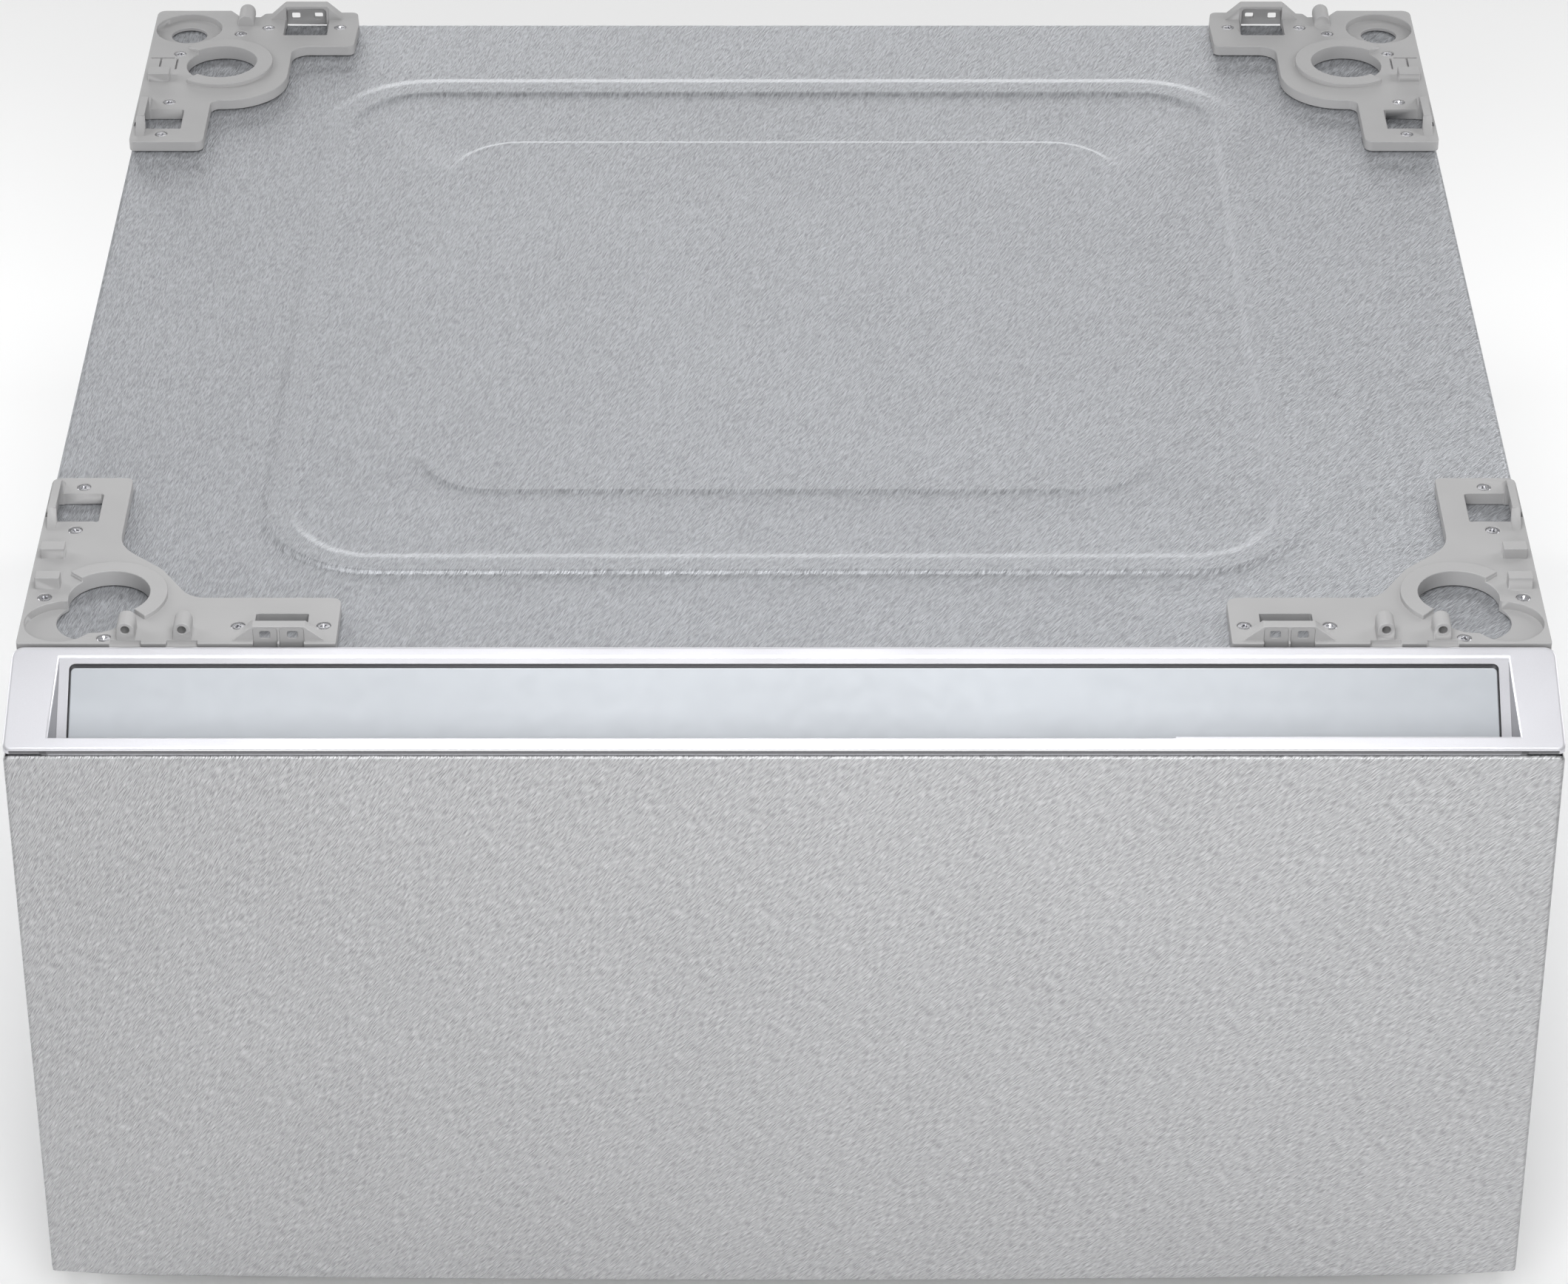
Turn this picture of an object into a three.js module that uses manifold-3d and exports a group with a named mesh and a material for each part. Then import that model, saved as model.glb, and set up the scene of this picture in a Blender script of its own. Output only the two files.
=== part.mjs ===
// Laundry pedestal: the storage-drawer base that a 27-inch front-load washer or dryer stands on.
// Millimetres. X to the right, Y to the back, Z up; the origin is on the floor, at the middle of
// the pedestal's footprint. The drawer pulls out along -Y.

import * as THREE from 'three';
import { mergeVertices } from 'three/addons/utils/BufferGeometryUtils.js';
import Module from 'manifold-3d';

const wasm = await Module();
wasm.setup();

// ---------------------------------------------------------------- driving dimensions
const WIDTH = 686;
const DEPTH = 698;
const PLATE_TOP = 338.5;
const SHEET = 1.2;
const GAP = 0.3;

const HALF_WIDTH = WIDTH / 2;
const FRONT = -DEPTH / 2;
const BACK = DEPTH / 2;

// cabinet
const CABINET_HALF = 342.6;
const CABINET_FRONT = -295;
const CABINET_BACK = 345;
const CABINET_BOTTOM = 22;
const PLATE_SKIRT = 14;
const BOTTOM_FLANGE = 42.6;
const BUMPER_Z = { low: 62, high: 300 };
const FRONT_FLANGE = 10;
const RAIL_DEPTH = 25;
const RAIL_HEIGHT = 18;

// levelling feet
const FOOT_X = 316;
const FOOT_FRONT_Y = -262;
const FOOT_REAR_Y = 316;
const STUD_RADIUS = 5;
const STUD_BORE = 5.5;
const STUD_TOP = 46;
const PAD_RADIUS = 22;
const PAD_HEIGHT = 7;
const NUT_ACROSS_CORNERS = 18;
const NUT_HEIGHT = 5.6;

// appliance retainers
const FLANGE_TOP = 344.5;
const RING_TOP = 346.8;
const HOOD_TOP = 352;
const SCREW_HEAD_RADIUS = 3.3;
const SCREW_SINK = 1.4;
const FRONT_SOCKET = [-304.5, -255];
const REAR_SOCKET = [-302.2, 282];
const SEAT_RADIUS = 16;
const SEAT_RISE = 0.2;

// drawer front and handle
const PANEL_BOTTOM = 28;
const PANEL_DIP = 4;
const PANEL_TOP = 320.9;
const PANEL_SHEET = 1;
const TRIM_BACK = -296.5;
const TRIM_TOP = 345;
const LIP_TOP = 324.3;
const LIP_BOTTOM = 321.9;
const POCKET_FRONT = -342.5;
const POCKET_FLOOR = 311;
const POCKET_HALF = 323.6;
const POCKET_SPLAY = 0.102;
const POCKET_TAPER = 0.084;
const WALL_TOP_Y = -300.5;
const WALL_TOP_Z = 343.5;
const WALL_LEAN = 1.213;
const INSET_HALF = 316.4;
const INSET_SHEET = 3;
const INSET_TOP = 339.6;
const INSET_BOTTOM = 314.5;
const INSET_GAP = 0.8;

// drawer tub
const TUB_HALF = 318.3;
const TUB_FRONT = -297.6;
const TUB_BACK = 252;
const TUB_FLOOR = 50;
const TUB_TOP = 250;
const TUB_SHEET = 1;
const TUB_LIP = 7;

// ball-bearing slides: u runs inwards from the outer member's web, v up from the slide's middle
const SLIDE_FACE = 331;
const SLIDE_MIDDLE_Z = 110;
const SLIDE_FRONT = -290;
const SLIDE_LENGTH = 500;
const CAGE_FRONT = -165;
const CAGE_LENGTH = 240;

const SIDES = { left: -1, right: 1 };
const ARC_STEP = THREE.MathUtils.degToRad(18);
const LARGE_RADIUS = 8;

// ---------------------------------------------------------------- materials
const material = (color, roughness, metalness) => (
  new THREE.MeshStandardMaterial({ color, roughness, metalness }));
const texturedSteel = () => material(0xbfc1c6, 0.42, 0.75);
const zincSteel = () => material(0xb4b7ba, 0.4, 0.8);
const greyPlastic = () => material(0xb7b7b6, 0.6, 0);
const silverPlastic = () => material(0xd9d9df, 0.32, 0.2);
const glossPlastic = () => material(0xd1d5dc, 0.08, 0.1);
const whitePlastic = () => material(0xe8e8e6, 0.5, 0);
const blackRubber = () => material(0x2a2a2b, 0.85, 0);

// ---------------------------------------------------------------- solids
function toManifold(geometry) {
  geometry.deleteAttribute('normal');
  geometry.deleteAttribute('uv');
  const merged = mergeVertices(geometry, 1e-4);
  return new wasm.Manifold(new wasm.Mesh({
    numProp: 3,
    vertProperties: new Float32Array(merged.attributes.position.array),
    triVerts: new Uint32Array(merged.index.array),
  }));
}

function toGeometry(solid) {
  const mesh = solid.getMesh();
  const geometry = new THREE.BufferGeometry();
  geometry.setAttribute('position', new THREE.BufferAttribute(new Float32Array(mesh.vertProperties), 3));
  geometry.setIndex(new THREE.BufferAttribute(new Uint32Array(mesh.triVerts), 1));
  geometry.computeVertexNormals();
  return geometry;
}

const join = (...solids) => solids.reduce((whole, solid) => whole.add(solid));
const cut = (whole, ...tools) => tools.reduce((rest, tool) => rest.subtract(tool), whole);

function block([x0, x1], [y0, y1], [z0, z1]) {
  const geometry = new THREE.BoxGeometry(x1 - x0, y1 - y0, z1 - z0);
  geometry.translate((x0 + x1) / 2, (y0 + y1) / 2, (z0 + z1) / 2);
  return toManifold(geometry);
}

function cylinder(radius, [x, y], [z0, z1], segments = 28) {
  const geometry = new THREE.CylinderGeometry(radius, radius, z1 - z0, segments);
  geometry.rotateX(Math.PI / 2);
  geometry.translate(x, y, (z0 + z1) / 2);
  return toManifold(geometry);
}

// A lathe about Z; the profile is a list of [radius, z].
function lathe(profile, segments = 20) {
  const geometry = new THREE.LatheGeometry(profile.map(([r, z]) => new THREE.Vector2(r, z)), segments);
  geometry.rotateX(Math.PI / 2);
  return toManifold(geometry);
}

// Corners are [u, v] or [u, v, radius]; a corner with a radius becomes an arc.
function outline(corners) {
  const points = [];
  const count = corners.length;
  corners.forEach(([u, v, radius = 0], index) => {
    const corner = new THREE.Vector2(u, v);
    if (radius === 0) {
      points.push(corner);
      return;
    }
    const previous = corners[(index + count - 1) % count];
    const next = corners[(index + 1) % count];
    const backwards = new THREE.Vector2(previous[0] - u, previous[1] - v).normalize();
    const forwards = new THREE.Vector2(next[0] - u, next[1] - v).normalize();
    const half = Math.acos(backwards.dot(forwards)) / 2;
    const reach = radius / Math.tan(half);
    const middle = backwards.clone().add(forwards).normalize().multiplyScalar(radius / Math.sin(half));
    const centre = corner.clone().add(middle);
    const start = corner.clone().addScaledVector(backwards, reach).sub(centre).angle();
    const end = corner.clone().addScaledVector(forwards, reach).sub(centre).angle();
    const sweep = THREE.MathUtils.euclideanModulo(end - start + Math.PI, 2 * Math.PI) - Math.PI;
    const arcStep = radius < LARGE_RADIUS ? ARC_STEP : ARC_STEP / 2;
    const steps = Math.max(2, Math.ceil(Math.abs(sweep) / arcStep));
    for (let step = 0; step <= steps; step += 1) {
      const angle = start + (sweep * step) / steps;
      points.push(new THREE.Vector2(radius, 0).rotateAround(new THREE.Vector2(), angle).add(centre));
    }
  });
  return points;
}

function extrude(points, depth) {
  return new THREE.ExtrudeGeometry(new THREE.Shape(points), { depth, bevelEnabled: false });
}

// Outline in X and Y, raised along Z.
function prismZ(corners, [z0, z1]) {
  const geometry = extrude(outline(corners), z1 - z0);
  geometry.translate(0, 0, z0);
  return toManifold(geometry);
}

// Outline in Y and Z, run along X.
function prismX(corners, [x0, x1]) {
  const geometry = extrude(outline(corners), x1 - x0);
  const toYZ = new THREE.Matrix4().makeBasis(
    new THREE.Vector3(0, 1, 0), new THREE.Vector3(0, 0, 1), new THREE.Vector3(1, 0, 0));
  geometry.applyMatrix4(toYZ);
  geometry.translate(x0, 0, 0);
  return toManifold(geometry);
}

// Outline in X and Z, run along Y.
function prismY(corners, [y0, y1]) {
  const geometry = extrude(outline(corners), y1 - y0);
  geometry.rotateX(Math.PI / 2);
  geometry.translate(0, y1, 0);
  return toManifold(geometry);
}

const rectangle = ([u0, u1], [v0, v1], radius = 0) => [
  [u0, v0, radius], [u1, v0, radius], [u1, v1, radius], [u0, v1, radius]];

const mirrorOutline = (corners) => corners.map(([u, ...rest]) => [-u, ...rest]).reverse();
const span = (start, length) => [start, start + length];

// Pieces made for the left side are mirrored in X for the right.
function mirrored(geometry) {
  const copy = geometry.clone().scale(-1, 1, 1);
  const corners = copy.index.array;
  for (let first = 0; first < corners.length; first += 3) {
    [corners[first], corners[first + 1]] = [corners[first + 1], corners[first]];
  }
  copy.computeVertexNormals();
  return copy;
}

function piece(group, name, solid, look, side = -1) {
  const geometry = toGeometry(solid);
  const mesh = new THREE.Mesh(side < 0 ? geometry : mirrored(geometry), look);
  mesh.name = name;
  group.add(mesh);
}

// ---------------------------------------------------------------- cabinet
const SKIRT_BOTTOM = PLATE_TOP - PLATE_SKIRT;
const INNER_FACE = CABINET_HALF - SHEET;
const FLANGE_INNER = CABINET_HALF - BOTTOM_FLANGE;

function topPlate() {
  const skin = block([-CABINET_HALF, CABINET_HALF], [CABINET_FRONT - 0.5, CABINET_BACK],
    [SKIRT_BOTTOM, PLATE_TOP]);
  const hollow = block([-INNER_FACE, INNER_FACE], [CABINET_FRONT - 1, CABINET_BACK - SHEET],
    [SKIRT_BOTTOM - 1, PLATE_TOP - SHEET]);
  const beadRise = 2;
  const panelRise = 0.8;
  const bead = cut(
    prismZ(rectangle([-242.3, 242.3], [-225.5, 274], 56), [PLATE_TOP - 0.5, PLATE_TOP + beadRise]),
    prismZ(rectangle([-227.5, 227.5], [-211, 257.7], 40), [PLATE_TOP - 1, PLATE_TOP + beadRise + 1]),
  );
  const panel = prismZ(rectangle([-172.5, 172.5], [-153.7, 202.7], 35),
    [PLATE_TOP - 0.5, PLATE_TOP + panelRise]);
  const seats = [FRONT_SOCKET, REAR_SOCKET].flatMap(([x, y]) => [[x, y], [-x, y]]).map((centre) => (
    cylinder(SEAT_RADIUS, centre, [PLATE_TOP - 0.5, PLATE_TOP + SEAT_RISE], 24)));
  return join(cut(skin, hollow), bead, panel, ...seats);
}

function sidePanel() {
  const tongue = INNER_FACE - GAP;
  const top = SKIRT_BOTTOM - GAP;
  const tongueTop = PLATE_TOP - SHEET - 0.5;
  const inside = CABINET_BOTTOM + SHEET;
  const wall = prismY(mirrorOutline([
    [FLANGE_INNER, CABINET_BOTTOM], [CABINET_HALF, CABINET_BOTTOM], [CABINET_HALF, top],
    [tongue, top], [tongue, tongueTop], [tongue - SHEET, tongueTop], [tongue - SHEET, top - SHEET],
    [INNER_FACE, top - SHEET], [INNER_FACE, inside], [FLANGE_INNER, inside],
  ]), [CABINET_FRONT, CABINET_BACK - SHEET - GAP]);
  const flange = block([-INNER_FACE - 0.1, -INNER_FACE + FRONT_FLANGE - SHEET], span(CABINET_FRONT, SHEET),
    [inside - 0.1, PLATE_TOP - SHEET - RAIL_HEIGHT - 1]);
  const studHoles = [FOOT_FRONT_Y, FOOT_REAR_Y].map((y) => (
    cylinder(STUD_BORE, [-FOOT_X, y], [CABINET_BOTTOM - 1, inside + 1], 20)));
  return cut(join(wall, flange), ...studHoles);
}

function backPanel() {
  const sheet = block([-CABINET_HALF, CABINET_HALF], [CABINET_BACK - SHEET, CABINET_BACK],
    [CABINET_BOTTOM, SKIRT_BOTTOM - GAP]);
  const ribs = [120, 200].map((z) => (
    prismX([[CABINET_BACK - 0.5, z - 7], [CABINET_BACK + 2, z - 4], [CABINET_BACK + 2, z + 4],
      [CABINET_BACK - 0.5, z + 7]], [-290, 290])));
  return join(sheet, ...ribs);
}

// Open channel along X with its web at the bottom or at the top.
function channelRail([y0, y1], webZ, lipZ, halfLength) {
  const inwards = Math.sign(lipZ - webZ) * SHEET;
  const corners = [[y0, webZ], [y1, webZ], [y1, lipZ], [y1 - SHEET, lipZ], [y1 - SHEET, webZ + inwards],
    [y0 + SHEET, webZ + inwards], [y0 + SHEET, lipZ], [y0, lipZ]];
  return prismX(inwards > 0 ? corners : corners.reverse(), [-halfLength, halfLength]);
}

function headerRail() {
  const under = PLATE_TOP - SHEET - GAP;
  return channelRail(span(CABINET_FRONT + GAP, RAIL_DEPTH), under, under - RAIL_HEIGHT, 338);
}

function baseRail(y) {
  return channelRail(span(y, RAIL_DEPTH), CABINET_BOTTOM, CABINET_BOTTOM + RAIL_HEIGHT, FLANGE_INNER - 10);
}

function footBracket(y) {
  const bottom = CABINET_BOTTOM + SHEET + GAP;
  const thick = 2.6;
  const size = 25;
  const plate = block([-INNER_FACE + GAP, -FLANGE_INNER + 9], [y - size, y + size], span(bottom, thick));
  const upstand = block(span(-INNER_FACE + GAP, thick), [y - size, y + size], span(bottom, 22));
  return cut(join(plate, upstand), cylinder(STUD_BORE, [-FOOT_X, y], [bottom - 1, bottom + thick + 1], 20));
}

// The lock nut, stud and pad of a levelling foot are made about their own axis.
const NUT_TOP = CABINET_BOTTOM - GAP;

function lockNut() {
  const hexagon = cylinder(NUT_ACROSS_CORNERS / 2, [0, 0], [NUT_TOP - NUT_HEIGHT, NUT_TOP], 6);
  return cut(hexagon, cylinder(STUD_BORE, [0, 0], [NUT_TOP - NUT_HEIGHT - 1, NUT_TOP + 1], 20));
}

function footStud() {
  const flangeBottom = PAD_HEIGHT + GAP;
  return lathe([[0, flangeBottom], [15, flangeBottom], [15, 9.2], [9, 12.5], [STUD_RADIUS, 13.5],
    [STUD_RADIUS, STUD_TOP - 1], [STUD_RADIUS - 1, STUD_TOP], [0, STUD_TOP]]);
}

function footPad() {
  return lathe([[0, 0], [PAD_RADIUS - 1.5, 0], [PAD_RADIUS, 1.5], [PAD_RADIUS - 2, PAD_HEIGHT - 1],
    [PAD_RADIUS - 3.5, PAD_HEIGHT], [0, PAD_HEIGHT]]);
}

function drawerBumper(z) {
  const geometry = new THREE.CylinderGeometry(3, 3.4, 2.1, 16);
  geometry.translate(-INNER_FACE + 5, CABINET_FRONT - GAP - 1.05, z);
  return toManifold(geometry);
}

// ---------------------------------------------------------------- appliance retainers
// Built on the left (negative X) and mirrored for the right.
const FLANGE_BOTTOM = PLATE_TOP + GAP;
const THROUGH = [FLANGE_BOTTOM - 1, HOOD_TOP + 1];

// Raised C around a socket; its mouth faces the corner, between two angles in degrees.
function socketRing([x, y], radius, mouthStart, mouthEnd) {
  const far = 60;
  const ray = (degrees) => {
    const angle = THREE.MathUtils.degToRad(degrees);
    return [x + far * Math.cos(angle), y + far * Math.sin(angle)];
  };
  const mouth = prismZ([[x, y], ray(mouthStart), ray((mouthStart + mouthEnd) / 2), ray(mouthEnd)], THROUGH);
  return cut(cylinder(radius, [x, y], [FLANGE_TOP - 1, RING_TOP], 40), mouth);
}

function screwHole([x, y]) {
  return join(cylinder(SCREW_HEAD_RADIUS, [x, y], [FLANGE_TOP - SCREW_SINK, HOOD_TOP], 14),
    cylinder(2, [x, y], THROUGH, 8));
}

// A roof that an appliance's hook goes under: trapezoid in one direction, hollow, open at one face.
// It stands on base, narrows to roof, and its back wall has two slots at the height slotZ.
function hookHood(run, base, roof, face, wallFace, slotZ = FLANGE_TOP - 0.5) {
  const towards = Math.sign(wallFace - face);
  const depth = [Math.min(face, wallFace), Math.max(face, wallFace)];
  const low = FLANGE_TOP - 0.5;
  const shell = run([[base[0], low], [base[1], low], [roof[1], HOOD_TOP, 1.5],
    [roof[0], HOOD_TOP, 1.5]], depth);
  const wall = 1.6;
  const inner = [face - towards, wallFace - towards * wall].sort((a, b) => a - b);
  const cavity = run([[roof[0] + 0.4, FLANGE_BOTTOM - 1], [roof[1] - 0.4, FLANGE_BOTTOM - 1],
    [roof[1] - 0.4, HOOD_TOP - 1.6, 2], [roof[0] + 0.4, HOOD_TOP - 1.6, 2]], inner);
  const middle = (roof[0] + roof[1]) / 2;
  const slots = [-6.2, 6.2].map((offset) => (
    run(rectangle([middle + offset - 2.3, middle + offset + 2.3], [slotZ - 1.7, slotZ + 1.7], 0.8),
      [Math.min(face, wallFace) - 2, Math.max(face, wallFace) + 2])));
  return { shell, cutters: [cavity, ...slots] };
}

function rearRetainer() {
  const back = BACK;
  const dish = [-324, 326.5];
  const flange = prismZ([
    [-HALF_WIDTH, back, 4.5], [-303, back, 1], [-297.5, 341], [-286.5, 341], [-284, 345.3, 1],
    [-260, 345.3], [-260, 346.8], [-233.6, 346.8, 3.5], [-232, 333, 8], [-233, 304.8, 3.5],
    [-266, 304.8, 9], [-266, 240.5, 31], [-304.3, 240.5, 5], [-304.3, 192.2, 4.5],
    [-HALF_WIDTH, 192.2, 3],
  ].reverse(), [FLANGE_BOTTOM, FLANGE_TOP]);
  const ring = socketRing(REAR_SOCKET, 27.3, 136, 231);
  const boss = prismY([[-297.7, FLANGE_TOP - 0.5], [-289.2, FLANGE_TOP - 0.5], [-289.2, 350.5, 4.2],
    [-297.7, 350.5, 4.2]], [329.5, 344.8]);
  const stop = block([-340, -328.6], [262.5, 271], [FLANGE_TOP - 0.5, 349.2]);
  const grooves = [
    [[-341, -328.6], [290.4, 291.4]],
    [[-336, -335.2], [280, 291]],
    [[-327.2, -326.4], [277.5, 290]],
  ].map(([across, along]) => block(across, along, [FLANGE_TOP - 1.6, FLANGE_TOP + 1]));
  const arm = hookHood(prismY, [-281, -240.8], [-272.3, -249.7], 337.5, 345);
  const leg = hookHood(prismX, [198, 243], [207.5, 229.5], -335.6, -340.2);
  const body = join(flange, ring, boss, stop, arm.shell, leg.shell);
  const screws = [[-326, 296], [-295.5, 320.5], [-281, 328], [-242, 328.5], [-326.3, 238.5], [-327, 201.5]];
  return cut(body, ...arm.cutters, ...leg.cutters, ...grooves,
    cylinder(18.8, REAR_SOCKET, THROUGH, 40),
    cylinder(17.8, dish, [FLANGE_TOP - 3.6, HOOD_TOP], 36),
    cylinder(9.6, [dish[0], dish[1] - 1], THROUGH, 24),
    prismZ(rectangle([-272.3, -248.5], [318.7, 338], 1.2), THROUGH),
    prismZ(rectangle([-336, -317.5], [207.2, 229.6], 1.2), THROUGH),
    ...screws.map(screwHole));
}

function frontRetainer() {
  const front = -293.8;
  const left = -342;
  const dish = [-324, -275.6];
  const flange = prismZ([
    [left, -150.3, 4], [-304.5, -150.3, 3], [-304.5, -211, 22], [-283, -231, 16], [-268, -255.5, 12],
    [-199.5, -255.5, 5], [-199.5, front, 1], [left, front, 1],
  ].reverse(), [FLANGE_BOTTOM, FLANGE_TOP]);
  const ring = socketRing(FRONT_SOCKET, 26.4, 137, 313);
  const tubeFace = -291;
  const tubeX = [-293.4, -268.2];
  const tubes = tubeX.map((x) => (
    prismY([[x - 4, FLANGE_TOP - 0.5], [x + 4, FLANGE_TOP - 0.5], [x + 4, 353.2, 3.9], [x - 4, 353.2, 3.9]],
      [tubeFace, -280])));
  const tubeBores = tubeX.map((x) => (
    prismY(rectangle([x - 1.9, x + 1.9], [347.6, 351.4], 1.85), [tubeFace - 1, tubeFace + 7])));
  const notches = tubeX.map((x) => (
    block([x - 6.8, x + 6.8], [front - 1, tubeFace - 0.4], [FLANGE_TOP - 2, FLANGE_TOP + 1])));
  const blocks = [[-339.4, -328.4, -222.3, -215.3, 349.8], [-338.8, -327.6, -248.5, -242.3, 350.5]].map(
    ([x0, x1, y0, y1, top]) => block([x0, x1], [y0, y1], [FLANGE_TOP - 0.5, top]));
  const arm = hookHood(prismY, [-247, -203.5], [-236.6, -213.6], -286.4, -291.7, FLANGE_TOP + 2.6);
  const pockets = [[-236.4, -225.8], [-224.6, -213.9]].map((across) => (
    prismY([[across[0], FLANGE_BOTTOM - 1], [across[1], FLANGE_BOTTOM - 1], [across[1], HOOD_TOP - 1, 1.5],
      [across[0], HOOD_TOP - 1, 1.5]], [front - 1, -290.9])));
  const leg = hookHood(prismX, [-198, -154.5], [-189.5, -165], -335.6, -339.7);
  const body = join(flange, ring, ...tubes, ...blocks, arm.shell, leg.shell);
  const screws = [[-326.8, -158.5], [-326.5, -197], [-333.7, -255.2], [-303.4, -289], [-244.3, -279],
    [-206, -278.8]];
  return cut(body, ...arm.cutters, ...leg.cutters, ...tubeBores, ...notches, ...pockets,
    cylinder(18.5, FRONT_SOCKET, THROUGH, 40),
    cylinder(16.5, [-310.5, -269], THROUGH, 36),
    cylinder(16.6, dish, [FLANGE_TOP - 4, HOOD_TOP], 36),
    prismZ(rectangle([-237, -213.2], [-287, -269], 1.2), THROUGH),
    prismZ(rectangle([-336, -316.8], [-189.8, -164.8], 1.2), THROUGH),
    ...screws.map(screwHole));
}

// ---------------------------------------------------------------- drawer front and handle
// The panel's bottom edge hangs lowest in the middle; corners from left to right.
function bottomEdge(inset) {
  const half = HALF_WIDTH - inset;
  const steps = 12;
  const corners = [];
  for (let step = 0; step <= steps; step += 1) {
    const across = (2 * step) / steps - 1;
    corners.push([half * across, PANEL_BOTTOM + inset - PANEL_DIP * (1 - across * across)]);
  }
  return corners;
}

function drawerFrontSkin() {
  const back = TRIM_BACK - 1.8;
  const outer = prismY([...bottomEdge(0), [HALF_WIDTH, PANEL_TOP], [-HALF_WIDTH, PANEL_TOP]], [FRONT, back]);
  const inner = prismY([...bottomEdge(PANEL_SHEET), [HALF_WIDTH - PANEL_SHEET, PANEL_TOP + 1],
    [-HALF_WIDTH + PANEL_SHEET, PANEL_TOP + 1]], [FRONT + PANEL_SHEET, back + 1]);
  return cut(outer, inner);
}

function drawerFrontLiner() {
  const half = HALF_WIDTH - PANEL_SHEET - GAP;
  const face = TRIM_BACK - 1.8;
  const lip = 9;
  const pan = block([-half, half], [face - lip, face], [PANEL_BOTTOM + PANEL_SHEET + GAP, LIP_BOTTOM - 0.4]);
  const hollow = block([-half + SHEET, half - SHEET], [face - lip - 1, face - SHEET],
    [PANEL_BOTTOM + PANEL_SHEET + GAP + SHEET, LIP_BOTTOM + 1]);
  return cut(pan, hollow);
}

// The pocket's back wall leans back as it rises; the trim's top falls towards the front.
const wallY = (z, offset = 0) => WALL_TOP_Y - WALL_LEAN * (WALL_TOP_Z - z) + offset;
const TOP_FALL = (TRIM_TOP - LIP_TOP) / (TRIM_BACK - FRONT);
const topZ = (y) => TRIM_TOP - TOP_FALL * (TRIM_BACK - y);

// What lies beyond one end wall of the pocket. The wall splays outwards as it rises, and the
// pocket is a little narrower at the back.
function pocketEnd(side) {
  const beyond = 20;
  const geometry = new THREE.BoxGeometry(beyond, 120, 120);
  geometry.translate((side * beyond) / 2, 0, 0);
  geometry.applyMatrix4(new THREE.Matrix4().set(
    1, -side * POCKET_TAPER, side * POCKET_SPLAY, 0,
    0, 1, 0, 0,
    0, 0, 1, 0,
    0, 0, 0, 1,
  ));
  geometry.translate(side * POCKET_HALF, POCKET_FRONT, topZ(POCKET_FRONT));
  return toManifold(geometry);
}

function handleTrim() {
  const wall = 6.5;
  const troughFront = FRONT + PANEL_SHEET + 0.5;
  const bottom = POCKET_FLOOR - 3;
  const seat = LIP_BOTTOM + 0.2;
  const above = 350;
  const frame = prismX([[TRIM_BACK, TRIM_TOP, 1], [TRIM_BACK, LIP_BOTTOM], [FRONT, LIP_BOTTOM, 0.6],
    [FRONT, LIP_TOP, 1.2]], [-HALF_WIDTH, HALF_WIDTH]);
  const trough = prismX([[troughFront, bottom], [troughFront, seat], [wallY(seat, wall), seat],
    [wallY(bottom + 5, wall), bottom + 5], [wallY(bottom + 5, wall) - 2, bottom]].reverse(),
  [-POCKET_HALF - 2.5, POCKET_HALF + 2.5]);
  const well = prismX([[POCKET_FRONT, topZ(POCKET_FRONT), 0.8], [POCKET_FRONT - 0.6, POCKET_FLOOR, 1.2],
    [wallY(POCKET_FLOOR), POCKET_FLOOR, 1.6], [WALL_TOP_Y, WALL_TOP_Z, 0.8], [WALL_TOP_Y, above],
    [POCKET_FRONT, above]], [-POCKET_HALF - 4, POCKET_HALF + 4]);
  const pocket = cut(well, pocketEnd(-1), pocketEnd(1));
  const recessTop = INSET_TOP + INSET_GAP;
  const recess = prismX([[wallY(INSET_BOTTOM, -2), INSET_BOTTOM], [wallY(recessTop, -2), recessTop],
    [wallY(recessTop, INSET_SHEET + GAP), recessTop],
    [wallY(INSET_BOTTOM, INSET_SHEET + GAP), INSET_BOTTOM]].reverse(),
  [-INSET_HALF - INSET_GAP, INSET_HALF + INSET_GAP]);
  return cut(join(frame, trough), pocket, recess);
}

function handleInset() {
  const bottom = INSET_BOTTOM + GAP;
  return prismX([[wallY(bottom), bottom], [wallY(INSET_TOP), INSET_TOP],
    [wallY(INSET_TOP, INSET_SHEET), INSET_TOP], [wallY(bottom, INSET_SHEET), bottom]].reverse(),
  [-INSET_HALF, INSET_HALF]);
}

// ---------------------------------------------------------------- drawer tub
function tubSide() {
  const inner = TUB_HALF - TUB_SHEET;
  const rim = TUB_TOP - TUB_SHEET;
  return prismY([[-inner, TUB_FLOOR], [-inner, TUB_TOP], [-TUB_HALF - TUB_LIP, TUB_TOP],
    [-TUB_HALF - TUB_LIP, rim], [-TUB_HALF, rim], [-TUB_HALF, TUB_FLOOR]],
  [TUB_FRONT + TUB_SHEET + GAP, TUB_BACK - TUB_SHEET - GAP]);
}

function tubFloor() {
  const half = TUB_HALF - TUB_SHEET - GAP;
  const ribHeight = 1.5;
  const plate = block([-half, half], [TUB_FRONT + TUB_SHEET + GAP, TUB_BACK - TUB_SHEET - GAP],
    span(TUB_FLOOR, TUB_SHEET));
  const ribs = [-240, -160, -80, 80, 160, 240].map((x) => (
    prismY([[x - 6, TUB_FLOOR + 0.5], [x + 6, TUB_FLOOR + 0.5], [x + 3.5, TUB_FLOOR + TUB_SHEET + ribHeight],
      [x - 3.5, TUB_FLOOR + TUB_SHEET + ribHeight]], [-260, 215])));
  return join(plate, ...ribs);
}

function tubEnd(y) {
  return block([-TUB_HALF, TUB_HALF], span(y, TUB_SHEET), [TUB_FLOOR, TUB_TOP]);
}

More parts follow.
